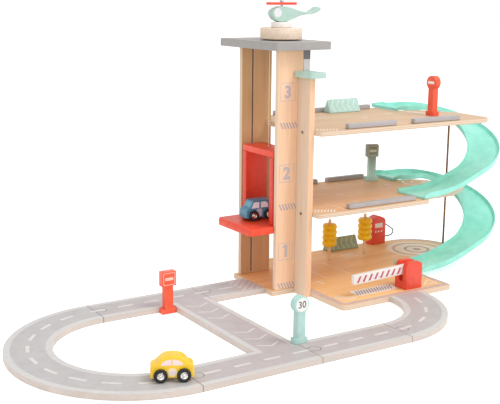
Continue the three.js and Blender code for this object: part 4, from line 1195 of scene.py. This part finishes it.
floorStrokes("chute bars", 3, [((294.5, 39), (306, 2.5))], 9, 2, 7, "print", 0.4)

# The base board's border, direction mark, check band and bay frame
ring = {"x": 323.35, "y": 22.65}
rim = {"left": 26.6, "front": -157.0, "right": 223.7, "turn": -73.6, "width": 7.8, "corner": 8, "reach": 67.3}
border = [(rim["left"], -56)]
border += arcPath(rim["left"] + rim["corner"], rim["front"] + rim["corner"], rim["corner"], 180, 270, 8)
border += [(rim["right"], rim["front"]), (rim["right"], rim["turn"])]
border += arcPath(ring["x"], ring["y"], rim["reach"], -60, 88)
floorLines("base border", 1, [border], rim["width"], "border", slotName="pale_paint")
floorLines("direction mark", 1, [[(190, -142), (215.5, -144), (214, -125)]], 1.6, "print", True)
floorPatch("check bed", roundedBox(69, 146, -136, -112, 6, 5), "print")
floorStrokes(
    "check ticks", 1, [((75.5, -124), (139.5, -124))], 14, 2.1, 19, "tick", 0.5, 0.12, "grey_green_paint")
floorLines("bay frame", 1, [[(176, 33), (219, 33), (219, 69), (176, 69)]], 1.3, "paleLine", True)
floorLines("bay mark", 1, [[(185, 42), (209, 42), (209, 60), (185, 60)]], 1.6, "print", True)
floorLines("bay mark bars", 1, [[(189, y), (205, y)] for y in (46.5, 51, 55.5)], 1.6, "print")

# The round print: a plain ring design in place of its mark
rings = {
    "outer ring": (47.5, 8, "cream"), "middle ring": (40.2, 2.6, "ringLine"),
    "inner ring": (20, 4.5, "ringLine"),
}
floorPatch("ring field", circle(ring["x"], ring["y"], 36.5, 72), "cream", lift=-0.03)
for label, (radius, width, tone) in rings.items():
    floorLines(label, 1, [circle(ring["x"], ring["y"], radius, 72)], width, tone, True)
floorPatch("ring centre", circle(ring["x"], ring["y"], 7), "ringLine", "pale_paint")
floorLines("floor ring", 2, [circle(315, 18, 26, 64)], 3.2, "print", True)
floorLines("floor ring core", 2, [circle(315, 18, 11)], 2.6, "print", True)
print("floor prints made")

# Road marks: dashes along each centre line, chevrons on the cross road, checks by the tower
dash = {"length": 23, "width": 4.6}
mid, arc, back, front = (roadRules[key] for key in ("mid", "arc", "back", "front"))
roadRows = {
    "u-turn dashes": (arcPath(roadRules["turn"], mid, arc, 108.6, 266.6), 10),
    "back dashes": ([(-284, back), (-78, back)], 6),
    "front dashes": ([(-260, front), (-133.4, front)], 4),
    "middle dashes": ([(-88, front), (-4.8, front)], 3),
    "curve dashes": (arcPath(curve["x"], curve["y"], curve["radius"], -82, -17), 4),
}
for label, (row, count) in roadRows.items():
    floorStrokes(label, 1, [row], count, dash["length"], dash["width"], "roadMark")
chevron = {"half": 16.5, "drop": 9.2, "width": 2.6}
cross = roadRules["cross"]
chevrons = [[(cross - chevron["half"], y), (cross, y - chevron["drop"]), (cross + chevron["half"], y)]
            for y in (-49.7, -79.5, -109, -174.8, -203.3, -231.6)]
floorLines("road chevrons", 1, chevrons, chevron["width"], "roadMark")
check = {"x": -59, "y": -24.2, "side": 6, "rows": 8, "across": 4}
checkRows = []
for k in range(check["rows"]):
    x, y = check["x"] + k % 2 * check["side"], check["y"] + k * check["side"]
    checkRows.append(((x, y), (x + check["across"] * check["side"], y)))
floorStrokes("road checks", 1, checkRows, 3, check["side"], check["side"], "blushGrey")
print("road marks made")


# Prints on the signs, the pump, the hedges and the barrier. One with a line width is a border.
def facePrint(name, outline, place, tone, line=None):
    mesh = lineMesh(name, outline, line, place, True) if line else patchMesh(name, outline, place)
    show(name, mesh, "garage", "white_paint", tone)


signs = {
    "stop": {"x": -194.05, "y": -39.35, "z": 50.4, "half": 10.7, "turn": 0, "tone": "signLine"},
    "parking": {"x": 255.1, "y": 70, "z": 179.9, "half": 10.2, "turn": -18, "tone": "mossMark"},
}
signDepth = 10.6
for label, sign in signs.items():
    middle = Vector((sign["x"], sign["y"], 0))
    turn = Matrix.Rotation(math.radians(sign["turn"]), 3, "Z")

    def onSign(a, b, height):
        return middle + turn @ Vector((a, -signDepth / 2 - height, sign["z"] + b))
    edge = sign["half"] - 2
    facePrint(label + " border", roundedBox(-edge, edge, -8.4, 8.4, 0.8, 2), onSign, sign["tone"], 0.8)
    facePrint(label + " bar", roundedBox(-6.2, 6.2, -2.1, 2.1, 0.6, 2), onSign, sign["tone"])
facePrint("no entry bar", roundedBox(-37.2, -23.2, 299.4, 303.6, 0.6, 2), onLeft(289.67), "print")
speed = {"x": -116.75, "y": -254.7, "z": 59.3, "face": 8.9}
facePrint("speed face", circle(speed["x"], speed["z"], speed["face"], 64), onFront(speed["y"]), "print")
limit = numberMesh("30", 12.5, 0.12, wallTurn(speed["x"], speed["y"] - layer - printed["proud"], speed["z"]))
show("speed number", limit, "garage", "wheel_plastic", "ink")
onPump = onFront(83.3)
facePrint("pump screen", roundedBox(279.1, 296.3, 38, 46, 0.8, 3), onPump, "blush")
dots = [patchMesh("dot", circle(x, 31, 1.5, 24), onPump) for x in (281.2, 287.6, 294.2)]
show("pump dots", gather("dots", dots), "garage", "white_paint", "print")

# Five arrow marks on each hedge's slope: the slope's direction, its length, each mark's inset and depth
slope = {"along": 0.4138, "up": 0.9104, "length": 24.2, "inset": 2.4, "depth": 5.4, "first": 6.2, "step": 11}
hedges = {"upper": (164.8, 70.6, 248.3, "hedgeMark"), "lower": (179.3, 82, 8.3, "mossMark")}
for label, (left, y, z, tone) in hedges.items():
    def onSlope(a, b, height):
        return a, y + slope["along"] * b - slope["up"] * height, z + slope["up"] * b + slope["along"] * height
    marks = []
    for k in range(5):
        x = left + slope["first"] + slope["step"] * k
        ends = slope["inset"], slope["length"] - slope["inset"]
        path = [(x + slope["depth"], ends[0]), (x, slope["length"] / 2), (x + slope["depth"], ends[1])]
        marks.append(lineMesh("mark", path, 1.5, onSlope))
    show(label + " hedge marks", gather("marks", marks), "garage", "white_paint", tone)

# Slanted stripes on the barrier's arm
gate = {
    "x": 163, "y": -141.3, "z": 37.9, "tilt": math.radians(1.7), "first": 60.6, "step": 10.75, "rise": 9.4,
    "width": 3.8, "lean": 5.2,
}


def onArm(a, b, height):
    cosine, sine = math.cos(gate["tilt"]), math.sin(gate["tilt"])
    return gate["x"] + a * cosine - b * sine, gate["y"] - height, gate["z"] + a * sine + b * cosine


stripes = []
for k in range(8):
    start = gate["first"] - gate["x"] + gate["step"] * k
    half = gate["rise"] / 2
    stripe = [(start, -half), (start + gate["width"], -half), (start + gate["lean"] + gate["width"], half),
              (start + gate["lean"], half)]
    stripes.append(patchMesh("stripe", stripe, onArm))
show("arm stripes", gather("stripes", stripes), "gate_arm", "red_paint", "stripe")
print("marks made")


# Studio: a pale floor, one large soft light, a weak fill, a white surround
def areaLight(name, place, target, size, watts, color):
    light = bpy.data.lights.new(name, "AREA")
    light.shape = "DISK"
    light.size = size
    light.energy = watts
    light.color = color
    holder = bpy.data.objects.new(name, light)
    holder.location = place
    holder.rotation_mode = "QUATERNION"
    holder.rotation_quaternion = (Vector(target) - Vector(place)).to_track_quat("-Z", "Y")
    bpy.context.scene.collection.objects.link(holder)


# 1 where a surface is seen straight, in a reflection or through glass
def seenDirectly(tree):
    rays = tree.nodes.new("ShaderNodeLightPath").outputs
    kinds = "Camera", "Glossy", "Transmission"
    camera, glossy, through = (Value(tree, rays[f"Is {kind} Ray"]) for kind in kinds)
    return (camera + glossy + through).least(1)


areaLight("key", (0.9, -1.35, 2.5), (-0.05, -0.1, 0.1), 1.3, 34, (1, 0.99, 0.97))
areaLight("fill", (-1.8, -2.0, 1.2), (0, 0, 0.15), 1.8, 9, (0.97, 0.98, 1))
world = bpy.data.worlds.new("surround")
bpy.context.scene.world = world
world.use_nodes = True
worldTree = world.node_tree
sky = worldTree.nodes["Background"]
sky.inputs["Color"].default_value = (1, 1, 1, 1)
sky.inputs["Strength"].default_value = 0.8
seen = addNode(worldTree, "ShaderNodeBackground", Color=(1, 1, 1, 1), Strength=1.0)
either = worldTree.nodes.new("ShaderNodeMixShader")
for source, slot in zip((seenDirectly(worldTree), sky.outputs[0], seen.outputs[0]), either.inputs):
    feed(worldTree, source, slot)
worldTree.links.new(either.outputs[0], worldTree.nodes["World Output"].inputs[0])

# The floor is a wide sheet that keeps the shadows and is white away from them
span, below = 12, -0.0005
sheet = bpy.data.meshes.new("floor")
corners = (-1, -1), (1, -1), (1, 1), (-1, 1)
sheet.from_pydata([(x * span, y * span, below) for x, y in corners], [], [(0, 1, 2, 3)])
floor = bpy.data.objects.new("studio floor", sheet)
bpy.context.scene.collection.objects.link(floor)
ground = bpy.data.materials.new("studio floor")
ground.use_nodes = True
shader = ground.node_tree.nodes["Principled BSDF"]
shader.inputs["Base Color"].default_value = (0.9, 0.9, 0.9, 1)
shader.inputs["Roughness"].default_value = 0.9
shader.inputs["Emission Color"].default_value = (1, 1, 1, 1)
feed(ground.node_tree, seenDirectly(ground.node_tree) * 0.35 + 0.2, shader.inputs["Emission Strength"])
sheet.materials.append(ground)
floor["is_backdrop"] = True
bpy.context.scene.view_settings.view_transform = "Standard"
print("studio made")

low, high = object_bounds()
